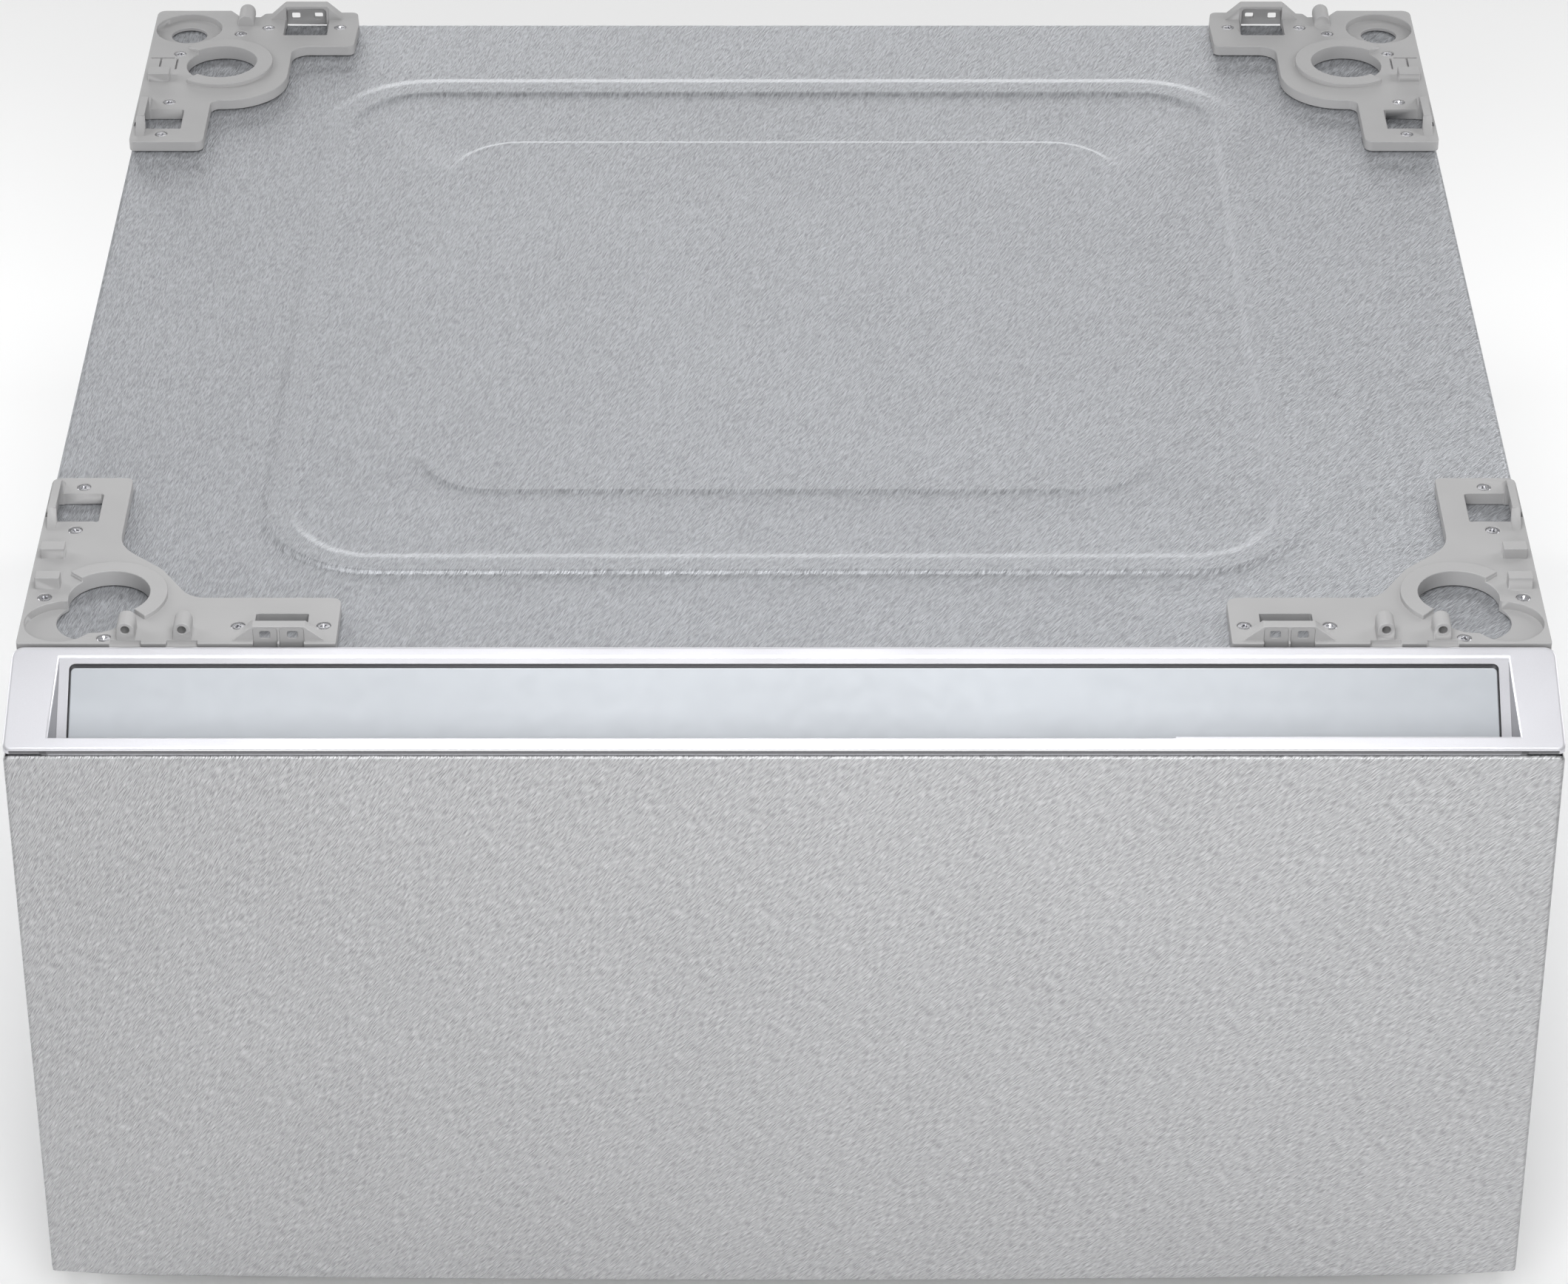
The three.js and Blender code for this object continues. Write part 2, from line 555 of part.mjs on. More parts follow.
function drawerDivider() {
  const bottom = TUB_FLOOR + TUB_SHEET + GAP;
  const ends = [TUB_FRONT + TUB_SHEET + GAP, TUB_BACK - TUB_SHEET - GAP];
  const handHole = prismX(rectangle([-70, 25], [150, 178], 13), [-5, 5]);
  return cut(prismY([[-9, bottom], [9, bottom], [9, bottom + 1.5], [1.2, bottom + 1.5], [1.2, 190, 1.1],
    [-1.2, 190, 1.1], [-1.2, bottom + 1.5], [-9, bottom + 1.5]], ends), handHole);
}

// ---------------------------------------------------------------- ball-bearing slides
// Channel section open towards greater u; lips turn back towards the middle when lip isn't 0.
function slideSection({ web, reach, height, sheet, lip = 0 }) {
  const half = height / 2;
  const upper = lip > 0
    ? [[reach, half], [reach, half - lip], [reach - sheet, half - lip], [reach - sheet, half - sheet]]
    : [[reach, half], [reach, half - sheet]];
  const inner = [[web + sheet, half - sheet]];
  const top = [[web, half], ...upper, ...inner];
  const bottom = top.map(([u, v]) => [u, -v]).reverse();
  return [...top, ...bottom];
}

// Opens towards smaller u, as the inner member does.
const flipSection = (section, about) => section.map(([u, v]) => [about - u, v]).reverse();

function slideBar(section, [y0, y1]) {
  const corners = section.map(([u, v]) => [-SLIDE_FACE + u, SLIDE_MIDDLE_Z + v]);
  return prismY(corners.reverse(), [y0, y1]);
}

const OUTER = slideSection({ web: 0, reach: 11, height: 45, sheet: SHEET, lip: 4.5 });
const OUTER_CAGE = slideSection({ web: 1.6, reach: 9.2, height: 39.2, sheet: 0.7 });
const MIDDLE = slideSection({ web: 2.7, reach: 11.8, height: 34.4, sheet: SHEET, lip: 4.6 });
const INNER_CAGE = slideSection({ web: 4.3, reach: 10.2, height: 28.4, sheet: 0.6 });
const INNER = flipSection(slideSection({ web: 0, reach: 6.7, height: 23.2, sheet: SHEET }), 12.1);
const BRACKET_REACH = 9.8;
const BRACKET = flipSection(slideSection({ web: 0, reach: BRACKET_REACH, height: 46, sheet: SHEET }), -GAP);

// ---------------------------------------------------------------- assembly
const pedestal = new THREE.Group();
const cabinet = new THREE.Group();
const drawer = new THREE.Group();
pedestal.add(cabinet, drawer);

piece(cabinet, 'top_plate', topPlate(), texturedSteel());
piece(cabinet, 'back_panel', backPanel(), zincSteel());
piece(cabinet, 'front_header_rail', headerRail(), zincSteel());
piece(cabinet, 'front_base_rail', baseRail(CABINET_FRONT), zincSteel());
piece(cabinet, 'rear_base_rail', baseRail(CABINET_BACK - SHEET - GAP - RAIL_DEPTH), zincSteel());

piece(drawer, 'drawer_front_skin', drawerFrontSkin(), texturedSteel());
piece(drawer, 'drawer_front_liner', drawerFrontLiner(), zincSteel());
piece(drawer, 'handle_trim', handleTrim(), silverPlastic());
piece(drawer, 'handle_inset', handleInset(), glossPlastic());
piece(drawer, 'tub_floor', tubFloor(), zincSteel());
piece(drawer, 'tub_front', tubEnd(TUB_FRONT), zincSteel());
piece(drawer, 'tub_back', tubEnd(TUB_BACK - TUB_SHEET), zincSteel());
piece(drawer, 'drawer_divider', drawerDivider(), whitePlastic());

const slideSpan = span(SLIDE_FRONT, SLIDE_LENGTH);
const cageSpan = span(CAGE_FRONT, CAGE_LENGTH);
const CORNERS = [
  { end: 'front', footY: FOOT_FRONT_Y, retainer: frontRetainer() },
  { end: 'rear', footY: FOOT_REAR_Y, retainer: rearRetainer() },
];

for (const [sideName, side] of Object.entries(SIDES)) {
  const slide = new THREE.Group();
  pedestal.add(slide);
  piece(slide, `slide_bracket_${sideName}`, slideBar(BRACKET, slideSpan), zincSteel(), side);
  piece(slide, `slide_outer_${sideName}`, slideBar(OUTER, slideSpan), zincSteel(), side);
  piece(slide, `slide_middle_${sideName}`, slideBar(MIDDLE, slideSpan), zincSteel(), side);
  piece(slide, `slide_inner_${sideName}`, slideBar(INNER, slideSpan), zincSteel(), side);
  piece(slide, `ball_cage_outer_${sideName}`, slideBar(OUTER_CAGE, cageSpan), zincSteel(), side);
  piece(slide, `ball_cage_inner_${sideName}`, slideBar(INNER_CAGE, cageSpan), zincSteel(), side);

  piece(drawer, `tub_side_${sideName}`, tubSide(), zincSteel(), side);
  piece(cabinet, `side_panel_${sideName}`, sidePanel(), texturedSteel(), side);
  for (const [height, z] of Object.entries(BUMPER_Z)) {
    piece(cabinet, `drawer_bumper_${height}_${sideName}`, drawerBumper(z), blackRubber(), side);
  }

  for (const { end, footY, retainer } of CORNERS) {
    piece(cabinet, `retainer_${end}_${sideName}`, retainer, greyPlastic(), side);
    piece(cabinet, `foot_bracket_${end}_${sideName}`, footBracket(footY), zincSteel(), side);
    const foot = new THREE.Group();
    foot.position.set(side * FOOT_X, footY, 0);
    pedestal.add(foot);
    piece(foot, `lock_nut_${end}_${sideName}`, lockNut(), zincSteel());
    piece(foot, `foot_stud_${end}_${sideName}`, footStud(), zincSteel());
    piece(foot, `foot_pad_${end}_${sideName}`, footPad(), blackRubber());
  }
}

export default pedestal;
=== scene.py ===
"""Looks for the laundry pedestal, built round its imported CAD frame.

Geometry is written in millimetres and scaled to metres as it becomes a mesh. Axes are the
frame's: X to the right, Y to the back, Z up, the floor at Z 0.
"""

import math

import bmesh
import bpy
from mathutils import Euler, Matrix, Vector, geometry


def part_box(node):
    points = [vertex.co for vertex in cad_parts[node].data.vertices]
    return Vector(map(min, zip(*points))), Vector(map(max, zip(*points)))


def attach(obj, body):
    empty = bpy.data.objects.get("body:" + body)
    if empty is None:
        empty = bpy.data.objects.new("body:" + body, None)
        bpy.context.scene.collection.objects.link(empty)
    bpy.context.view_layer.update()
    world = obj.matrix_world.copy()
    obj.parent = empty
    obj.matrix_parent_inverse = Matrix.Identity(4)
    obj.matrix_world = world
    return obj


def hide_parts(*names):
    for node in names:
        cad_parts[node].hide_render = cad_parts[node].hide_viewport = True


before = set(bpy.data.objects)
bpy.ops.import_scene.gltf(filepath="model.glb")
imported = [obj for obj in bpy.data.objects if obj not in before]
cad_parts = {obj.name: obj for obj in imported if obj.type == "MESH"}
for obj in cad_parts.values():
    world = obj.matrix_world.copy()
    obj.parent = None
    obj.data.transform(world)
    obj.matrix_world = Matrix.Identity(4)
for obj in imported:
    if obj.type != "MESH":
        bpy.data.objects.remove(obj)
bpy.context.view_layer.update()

MM = 0.001
SIDES = {"left": -1, "right": 1}
ENDS = ("front", "rear")


def box_mm(node):
    """Lowest and highest corner of a CAD node, in millimetres."""
    low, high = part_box(node)
    return low / MM, high / MM


# ---------------------------------------------------------------- sizes of the handle
TRIM_LOW, TRIM_HIGH = box_mm("handle_trim")
LIP_TOP = 324.3
LIP_BOTTOM = 321.9
TRIM_ROUND = 1.3
TOP_FALL = (TRIM_HIGH.z - LIP_TOP) / (TRIM_HIGH.y - TRIM_LOW.y)
POCKET_FRONT = -342.5
POCKET_FLOOR = 311.0
POCKET_HALF = 323.6
POCKET_SPLAY = 0.102
POCKET_TAPER = 0.084
POCKET_ROUND = 0.9
WALL_TOP = (-300.5, 343.5)
WALL_LEAN = 1.213
INSET_HALF = 316.4
INSET_SHEET = 3.0
INSET_TOP = 339.6
INSET_BOTTOM = 314.8
INSET_GAP = 0.8
INSET_TOP_GAP = 1.2


def trim_top(y):
    return TRIM_HIGH.z - TOP_FALL * (TRIM_HIGH.y - y)


def wall_y(z, offset=0.0):
    """The pocket's back wall leans back as it rises."""
    return WALL_TOP[0] - WALL_LEAN * (WALL_TOP[1] - z) + offset


# ---------------------------------------------------------------- camera and light
CAMERA_PLACE = (0, -2.2529, 1.6014)
CAMERA_TILT = 57.33
CAMERA_LENS = 120.06
WORLD_STRENGTH = 0.15


def make_camera():
    camera = bpy.data.cameras.new("camera")
    camera.sensor_width = 36
    camera.lens = CAMERA_LENS
    holder = bpy.data.objects.new("camera", camera)
    holder.location = CAMERA_PLACE
    holder.rotation_euler = Euler((math.radians(CAMERA_TILT), 0, 0))
    bpy.context.scene.collection.objects.link(holder)
    bpy.context.scene.camera = holder


def softbox(name, location, target, size, radiance):
    """An area light aimed at a target; places and sizes in metres, as the camera's are."""
    light = bpy.data.lights.new(name, "AREA")
    light.shape = "RECTANGLE"
    light.size, light.size_y = size
    light.energy = radiance * math.pi * size[0] * size[1]
    holder = bpy.data.objects.new(name, light)
    holder.location = location
    aim = Vector(target) - Vector(location)
    holder.rotation_euler = aim.to_track_quat("-Z", "Y").to_euler()
    holder.visible_camera = False
    bpy.context.scene.collection.objects.link(holder)


def make_light():
    scene = bpy.context.scene
    scene.view_settings.view_transform = "Standard"
    world = bpy.data.worlds.new("studio")
    world.use_nodes = True
    background = world.node_tree.nodes["Background"]
    background.inputs["Color"].default_value = (1, 1, 1, 1)
    background.inputs["Strength"].default_value = WORLD_STRENGTH
    scene.world = world
    softbox("overhead", (0, -0.35, 1.35), (0, -0.35, 0.3), (0.9, 0.35), 9.2)
    softbox("backdrop_high", (0, 2.1, 2.1), (0, 0.1, 0.3), (1.8, 0.7), 1.8)
    softbox("backdrop_low", (0, 2.9, 0.75), (0, 0, 0.3), (3.0, 0.8), 3.3)
    softbox("front_key", (0, -1.5, 1.1), (0, -0.35, 0.25), (0.8, 0.5), 9.2)
    softbox("front_low", (0, -1.7, 0.55), (0, -0.35, 0.2), (1.4, 0.5), 4.4)
    for side in SIDES.values():
        softbox("floor_side", (1.3 * side, 0.4, 0.7), (0.58 * side, 0.35, 0), (0.6, 1.2), 4.2)


# ---------------------------------------------------------------- materials
def new_material(name, color, roughness, metallic=0.0):
    material = bpy.data.materials.new(name)
    material.use_nodes = True
    bsdf = material.node_tree.nodes["Principled BSDF"]
    bsdf.inputs["Base Color"].default_value = (*color, 1)
    bsdf.inputs["Roughness"].default_value = roughness
    bsdf.inputs["Metallic"].default_value = metallic
    return material


def add(material, kind, values=None, **settings):
    """A new node; values maps its inputs to numbers, or to the sockets that feed them."""
    tree = material.node_tree
    node = tree.nodes.new(kind)
    for name, setting in settings.items():
        setattr(node, name, setting)
    for key, value in (values or {}).items():
        if isinstance(value, bpy.types.NodeSocket):
            tree.links.new(value, node.inputs[key])
        else:
            node.inputs[key].default_value = value
    return node


def feed(material, socket, name):
    bsdf = material.node_tree.nodes["Principled BSDF"]
    material.node_tree.links.new(socket, bsdf.inputs[name])


def position(material):
    return add(material, "ShaderNodeTexCoord").outputs["Object"]


def stretched(material, scale, source=None):
    return add(material, "ShaderNodeMapping",
               {"Vector": source or position(material), "Scale": scale}).outputs[0]


def noise(material, vector, scale=1.0, detail=2.0, roughness=0.5):
    return add(material, "ShaderNodeTexNoise", {
        "Vector": vector, "Scale": scale, "Detail": detail, "Roughness": roughness,
    }).outputs["Fac"]


def bump(material, height, distance_mm):
    node = add(material, "ShaderNodeBump", {"Height": height, "Strength": 1.0, "Distance": distance_mm * MM})
    feed(material, node.outputs["Normal"], "Normal")


def spread(material, factor, low, high, name="Base Color", at=(0.3, 0.7)):
    """Turns a factor into a range of colours, or of numbers such as roughness."""
    if name == "Base Color":
        ramp = add(material, "ShaderNodeValToRGB", {"Fac": factor})
        for element, place, color in zip(ramp.color_ramp.elements, at, (low, high)):
            element.position = place
            element.color = (*color, 1)
        feed(material, ramp.outputs["Color"], name)
        return
    remap = add(material, "ShaderNodeMapRange", {
        "Value": factor, "From Min": at[0], "From Max": at[1], "To Min": low, "To Max": high})
    feed(material, remap.outputs["Result"], name)


def calculate(material, operation, first, second=0.0):
    return add(material, "ShaderNodeMath", {0: first, 1: second}, operation=operation).outputs[0]


def product(material, *factors):
    result = factors[0]
    for factor in factors[1:]:
        result = calculate(material, "MULTIPLY", result, factor)
    return result


def shades(color, low, high):
    """A darker and a lighter version of a colour."""
    return tuple(low * c for c in color), tuple(high * c for c in color)


STROKE_SCALE = (2700, 250, 450)     # per radian round the fan point, per metre along, per metre through
STROKE_SHARE = 0.94


def textured_steel(name, across, up, fan, color):
    """Sheet with a fine embossed grain of short strokes that point away from a far fan point."""
    material = new_material(name, color, 0.42, 0.72)
    axes = add(material, "ShaderNodeSeparateXYZ", {0: position(material)})
    a = calculate(material, "SUBTRACT", axes.outputs[across], fan[0] * MM)
    b = calculate(material, "SUBTRACT", axes.outputs[up], fan[1] * MM)
    bearing = calculate(material, "ARCTAN2", b, a)
    squares = calculate(material, "ADD", product(material, a, a), product(material, b, b))
    reach = calculate(material, "SQRT", squares)
    through = "XYZ".replace(across, "").replace(up, "")
    polar = add(material, "ShaderNodeCombineXYZ", {"X": bearing, "Y": reach, "Z": axes.outputs[through]})
    strokes = noise(material, stretched(material, STROKE_SCALE, polar.outputs[0]), detail=1)
    patches = noise(material, position(material), scale=14)
    bump(material, strokes, 0.35)
    shade = calculate(material, "ADD", product(material, strokes, STROKE_SHARE),
                      product(material, patches, 1 - STROKE_SHARE))
    spread(material, shade, *shades(color, 0.7, 1.3))
    spread(material, strokes, 0.34, 0.5, "Roughness")
    return material


def moulded_plastic(name, color, roughness, grain_mm=0.5, depth_mm=0.02):
    material = new_material(name, color, roughness)
    grain = noise(material, position(material), scale=1 / (grain_mm * MM), detail=3)
    cloud = noise(material, position(material), scale=25, detail=3)
    bump(material, grain, depth_mm)
    spread(material, cloud, *shades(color, 0.96, 1.03))
    spread(material, grain, roughness - 0.05, roughness + 0.06, "Roughness")
    return material


# Painted shade: the share of the silver colour kept on the lip's front face, in the inset's recess and on the
# pocket's end walls.
LIP_FACE_PAINTED_SHADE = 0.2
RECESS_PAINTED_SHADE = 0.25
END_WALL_PAINTED_SHADE = 0.5


def silver_paint():
    """Satin silver paint, with painted shade on the lip's narrow front face, in the inset's recess and on the
    end walls.

    Those three darkenings are painted shade, not the paint's own tone. Each is found by its distance from the
    plane it lies in.
    """
    color = (0.545, 0.545, 0.575)
    material = new_material("silver_trim", color, 0.33, 0.45)
    here = position(material)
    place = add(material, "ShaderNodeVectorMath", {0: here}, operation="ABSOLUTE").outputs["Vector"]
    axes = add(material, "ShaderNodeSeparateXYZ", {0: here})

    def ramp(value, start_mm, end_mm, low, high):
        return add(material, "ShaderNodeMapRange", {
            "Value": value, "From Min": start_mm * MM, "From Max": end_mm * MM, "To Min": low, "To Max": high,
        }).outputs["Result"]

    def along(vector, direction):
        return add(material, "ShaderNodeVectorMath", {0: vector, 1: direction},
                   operation="DOT_PRODUCT").outputs["Value"]

    # Painted shade on the lip's narrow front face, darker where it lies in the trim's front plane.
    lip_painted_shade = ramp(axes.outputs["Y"], TRIM_LOW.y + 0.03, TRIM_LOW.y + 0.1, LIP_FACE_PAINTED_SHADE, 1.0)

    # Painted shade in the inset's recess: darker behind the plane of the pocket's back wall, below the
    # inset's top.
    wall = WALL_TOP[0] - WALL_LEAN * WALL_TOP[1]
    recess = ramp(along(here, (0, 1, -WALL_LEAN)), wall + 0.27, wall + 0.67, 1.0, RECESS_PAINTED_SHADE)
    above_inset = ramp(axes.outputs["Z"], INSET_TOP + 1.6, INSET_TOP + 1.9, 0.0, 1.0)
    recess = calculate(material, "MAXIMUM", recess, above_inset)

    # Painted shade on the pocket's end walls, found between two planes and below the rim.
    end = POCKET_HALF + POCKET_TAPER * POCKET_FRONT - POCKET_SPLAY * trim_top(POCKET_FRONT)
    outward = along(place, (1, -POCKET_TAPER, -POCKET_SPLAY))
    upward = along(place, (0, TOP_FALL, 1))
    rim = TRIM_HIGH.z - TOP_FALL * TRIM_HIGH.y
    end_wall = product(material, calculate(material, "GREATER_THAN", outward, (end - 0.2) * MM),
                       calculate(material, "LESS_THAN", outward, (end + 3) * MM),
                       calculate(material, "LESS_THAN", upward, (rim - 0.9) * MM))
    end_shade = calculate(material, "SUBTRACT", 1.0, product(material, end_wall, 1 - END_WALL_PAINTED_SHADE))

    flake = noise(material, here, scale=4200, detail=1)
    cloud = noise(material, here, scale=18)
    bump(material, flake, 0.006)
    tone = add(material, "ShaderNodeMapRange", {
        "Value": flake, "From Min": 0.3, "From Max": 0.7, "To Min": 0.97, "To Max": 1.04})
    # The flake's own tone times the three painted shades.
    paint = product(material, tone.outputs["Result"], lip_painted_shade, recess, end_shade)
    scaled = add(material, "ShaderNodeVectorMath", {0: color, "Scale": paint}, operation="SCALE")
    feed(material, scaled.outputs["Vector"], "Base Color")
    spread(material, cloud, 0.29, 0.37, "Roughness")
    return material


def gloss_plate():
    """The inset's smooth gloss paint, a little uneven in tone."""
    color = (0.455, 0.478, 0.508)
    material = new_material("handle_inset", color, 0.28, 0.3)
    cloud = noise(material, stretched(material, (7, 14, 14)), detail=2)
    ripple = noise(material, position(material), scale=160, detail=2)
    spread(material, cloud, *shades(color, 0.96, 1.05))
    spread(material, ripple, 0.29, 0.33, "Roughness")
    return material


def galvanised():
    """Zinc-coated sheet with its spangle of crystals."""
    color = (0.50, 0.51, 0.52)
    material = new_material("galvanised_steel", color, 0.4, 0.85)
    wobble = noise(material, position(material), scale=90, detail=2)
    moved = add(material, "ShaderNodeVectorMath",
                {0: position(material), 1: stretched(material, (0.012,) * 3, wobble)}, operation="ADD")
    crystals = add(material, "ShaderNodeTexVoronoi", {"Vector": moved.outputs[0], "Scale": 110})
    tone = add(material, "ShaderNodeSeparateColor", {0: crystals.outputs["Color"]}).outputs[0]
    streaks = noise(material, stretched(material, (900, 60, 900)), detail=2)
    spread(material, tone, *shades(color, 0.82, 1.16), at=(0, 1))
    spread(material, tone, 0.33, 0.5, "Roughness", at=(0, 1))
    bump(material, streaks, 0.02)
    return material


def powder_coat():
    """Light grey paint with a faint orange peel."""
    color = (0.60, 0.61, 0.62)
    material = new_material("tub_paint", color, 0.45, 0.0)
    peel = noise(material, position(material), scale=700, detail=2)
    cloud = noise(material, position(material), scale=12, detail=3)
    bump(material, peel, 0.05)
    spread(material, cloud, *shades(color, 0.96, 1.03))
    spread(material, peel, 0.4, 0.52, "Roughness")
    return material


def bright_zinc():
    """Zinc plate with drawing lines along Y and a slight colour shift."""
    material = new_material("bright_zinc", (0.62, 0.63, 0.64), 0.25, 0.95)
    lines = noise(material, stretched(material, (2200, 40, 2200)), detail=3)
    cloud = noise(material, position(material), scale=45, detail=3)
    bump(material, lines, 0.01)
    spread(material, cloud, (0.56, 0.58, 0.62), (0.66, 0.65, 0.62))
    spread(material, lines, 0.18, 0.34, "Roughness")
    return material


def rubber():
    material = new_material("black_rubber", (0.03, 0.03, 0.032), 0.8)
    grain = noise(material, position(material), scale=1500, detail=3)
    dust = noise(material, position(material), scale=60, detail=4)
    bump(material, grain, 0.05)
    spread(material, dust, (0.024, 0.024, 0.026), (0.05, 0.05, 0.05))
    spread(material, grain, 0.7, 0.92, "Roughness")
    return material


def screw_metal():
    material = new_material("screw_chrome", (0.42, 0.42, 0.44), 0.3, 1.0)
    scratches = noise(material, position(material), scale=2600, detail=2)
    bump(material, scratches, 0.01)
    spread(material, scratches, 0.24, 0.36, "Roughness")
    spread(material, scratches, (0.44, 0.44, 0.46), (0.56, 0.56, 0.58))
    return material


def floor_material():
    material = new_material("floor", (0.93, 0.93, 0.93), 0.7)
    cloud = noise(material, position(material), scale=3, detail=2)
    spread(material, cloud, (0.925, 0.925, 0.925), (0.935, 0.935, 0.935))
    return material


TOP_FAN = (-508, -1288)
UPRIGHT_FAN = (-943, -816)
STEEL_COLOR = (0.372, 0.382, 0.402)
STEEL_FRONT = (0.380, 0.382, 0.390)
MATERIALS = {
    "steel_top": textured_steel("textured_steel_top", "X", "Y", TOP_FAN, STEEL_COLOR),
    "steel_front": textured_steel("textured_steel_front", "X", "Z", UPRIGHT_FAN, STEEL_FRONT),
    "steel_side": textured_steel("textured_steel_side", "Y", "Z", UPRIGHT_FAN, STEEL_COLOR),
    "retainer_plastic": moulded_plastic("retainer_plastic", (0.325, 0.323, 0.325), 0.55),
    "silver_trim": silver_paint(),
    "handle_inset": gloss_plate(),
    "galvanised_steel": galvanised(),
    "tub_paint": powder_coat(),
    "bright_zinc": bright_zinc(),
    "divider_plastic": moulded_plastic("divider_plastic", (0.74, 0.74, 0.73), 0.45),
    "black_rubber": rubber(),
    "screw_chrome": screw_metal(),
}


# ---------------------------------------------------------------- mesh tools
def object_from(bm, name):
    mesh = bpy.data.meshes.new(name)
    bm.to_mesh(mesh)
    bm.free()
    made = bpy.data.objects.new(name, mesh)
    bpy.context.scene.collection.objects.link(made)
    return made


def dress(piece, body, material, replaced=(), smooth_angle=35):
    """Gives a new piece its material, shading and body, and hides the CAD nodes that it stands for."""
    piece.data.materials.clear()
    piece.data.materials.append(MATERIALS[material])
    for polygon in piece.data.polygons:
        polygon.use_smooth = True
    piece.data.set_sharp_from_angle(angle=math.radians(smooth_angle))
    weighted = piece.modifiers.new("weighted_normal", "WEIGHTED_NORMAL")
    weighted.keep_sharp = True
    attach(piece, body)
    if replaced:
        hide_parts(*replaced)
    return piece


def skin_rings(rings):
    """A closed bmesh through rings of points that all have the same count; rings are in millimetres."""
    bm = bmesh.new()
    rows = [[bm.verts.new(Vector(p) * MM) for p in ring] for ring in rings]
    count = len(rows[0])
    for lower, upper in zip(rows, rows[1:]):
        for i in range(count):
            j = (i + 1) % count
            bm.faces.new((lower[i], lower[j], upper[j], upper[i]))
    bm.faces.new(rows[0][::-1])
    bm.faces.new(rows[-1])
    bmesh.ops.recalc_face_normals(bm, faces=bm.faces)
    return bm


def rounded_rectangle(x, y, radius, steps=6):
    """Points of a rectangle, each with its own corner's arc; radius may be one for each corner."""
    (x0, x1), (y0, y1) = x, y
    radii = [radius] * 4 if isinstance(radius, (int, float)) else radius
    corners = [(x0, y0, 180), (x1, y0, 270), (x1, y1, 0), (x0, y1, 90)]
    points = []
    for (cx, cy, start), r in zip(corners, radii):
        mx = cx + r if cx == x0 else cx - r
        my = cy + r if cy == y0 else cy - r
        for step in range(steps + 1):
            angle = math.radians(start + 90 * step / steps)
            points.append((mx + r * math.cos(angle), my + r * math.sin(angle)))
    return points


def fillet(radius, steps=4):
    """(distance in, distance down) from a sharp edge, along a quarter round from side to top."""
    pairs = []
    for step in range(steps + 1):
        angle = math.pi / 2 * step / steps
        pairs.append((radius * (1 - math.cos(angle)), radius * (1 - math.sin(angle))))
    return pairs


def cad_copy(node):
    """A welded bmesh copy of a CAD node, its flat faces merged."""
    bm = bmesh.new()
    bm.from_mesh(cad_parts[node].data)
    bmesh.ops.remove_doubles(bm, verts=bm.verts, dist=0.002 * MM)
    bmesh.ops.dissolve_limit(bm, angle_limit=math.radians(0.4), verts=bm.verts, edges=bm.edges)
    return bm


def crossing_points(face):
    """Where a face's own outline crosses itself, in metres; none for a sound face."""
    points = [v.co for v in face.verts]
    if len(points) < 4:
        return []
    turn = face.normal.rotation_difference(Vector((0, 0, 1)))
    flat = [(turn @ p).to_2d() for p in points]
    count = len(flat)
    found = []
    for i in range(count):
        for j in range(i + 2, count):
            if i == 0 and j == count - 1:
                continue
            hit = geometry.intersect_line_line_2d(flat[i], flat[i - count + 1], flat[j], flat[j - count + 1])
            if hit is not None:
                along = (hit - flat[i]).length / max((flat[i - count + 1] - flat[i]).length, 1e-9)
                found.append(points[i].lerp(points[i - count + 1], along))
    return found


def gap_to(edge, point):
    """Distance from a point to an edge."""
    start, end = (v.co for v in edge.verts)
    _, along = geometry.intersect_point_line(point, start, end)
    return (start.lerp(end, min(max(along, 0), 1)) - point).length


SOFTEN_ANGLE = 32
SOFTEN_TRIES = 12


def soften(bm, radius_mm, segments=2):
    """Rounds a bmesh's outer edges, leaving sharp the few where a rounding would fold a face over."""
    spared = []
    spare_mm = 1.0
    for _ in range(SOFTEN_TRIES):
        trial = bm.copy()
        sharp = []
        for edge in trial.edges:
            outer = len(edge.link_faces) == 2 and edge.is_convex
            if outer and edge.calc_face_angle(0) > math.radians(SOFTEN_ANGLE):
                if all(gap_to(edge, p) > spare_mm * MM for p in spared):
                    sharp.append(edge)
        bmesh.ops.bevel(trial, geom=sharp, offset=radius_mm * MM, offset_type="OFFSET", segments=segments,
                        profile=0.5, affect="EDGES", clamp_overlap=False)
        trial.normal_update()
        bad = [p for face in trial.faces for p in crossing_points(face)]
        if not bad:
            bm.free()
            return trial
        spared += bad
        spare_mm *= 1.1
        trial.free()
    return bm


def carve(piece, tools, operation="DIFFERENCE"):
    """Cuts the tool objects out of a piece, or joins them to it, for good."""
    for tool in tools:
        modifier = piece.modifiers.new("cut", "BOOLEAN")
        modifier.operation = operation
        modifier.solver = "EXACT"
        modifier.object = tool
    depsgraph = bpy.context.evaluated_depsgraph_get()
    cut = bpy.data.meshes.new_from_object(piece.evaluated_get(depsgraph))
    piece.modifiers.clear()
    piece.data = cut
    for tool in tools:
        bpy.data.objects.remove(tool)
    return piece


def turned(profile, segments=32):
    """A bmesh turned about Z from (radius, z) pairs; the first and last, on the axis, become its caps."""
    rings = []
    for radius, z in profile[1:-1]:
        ring = []
        for i in range(segments):
            angle = 2 * math.pi * i / segments
            ring.append((radius * math.cos(angle), radius * math.sin(angle), z))
        rings.append(ring)
    return skin_rings(rings)


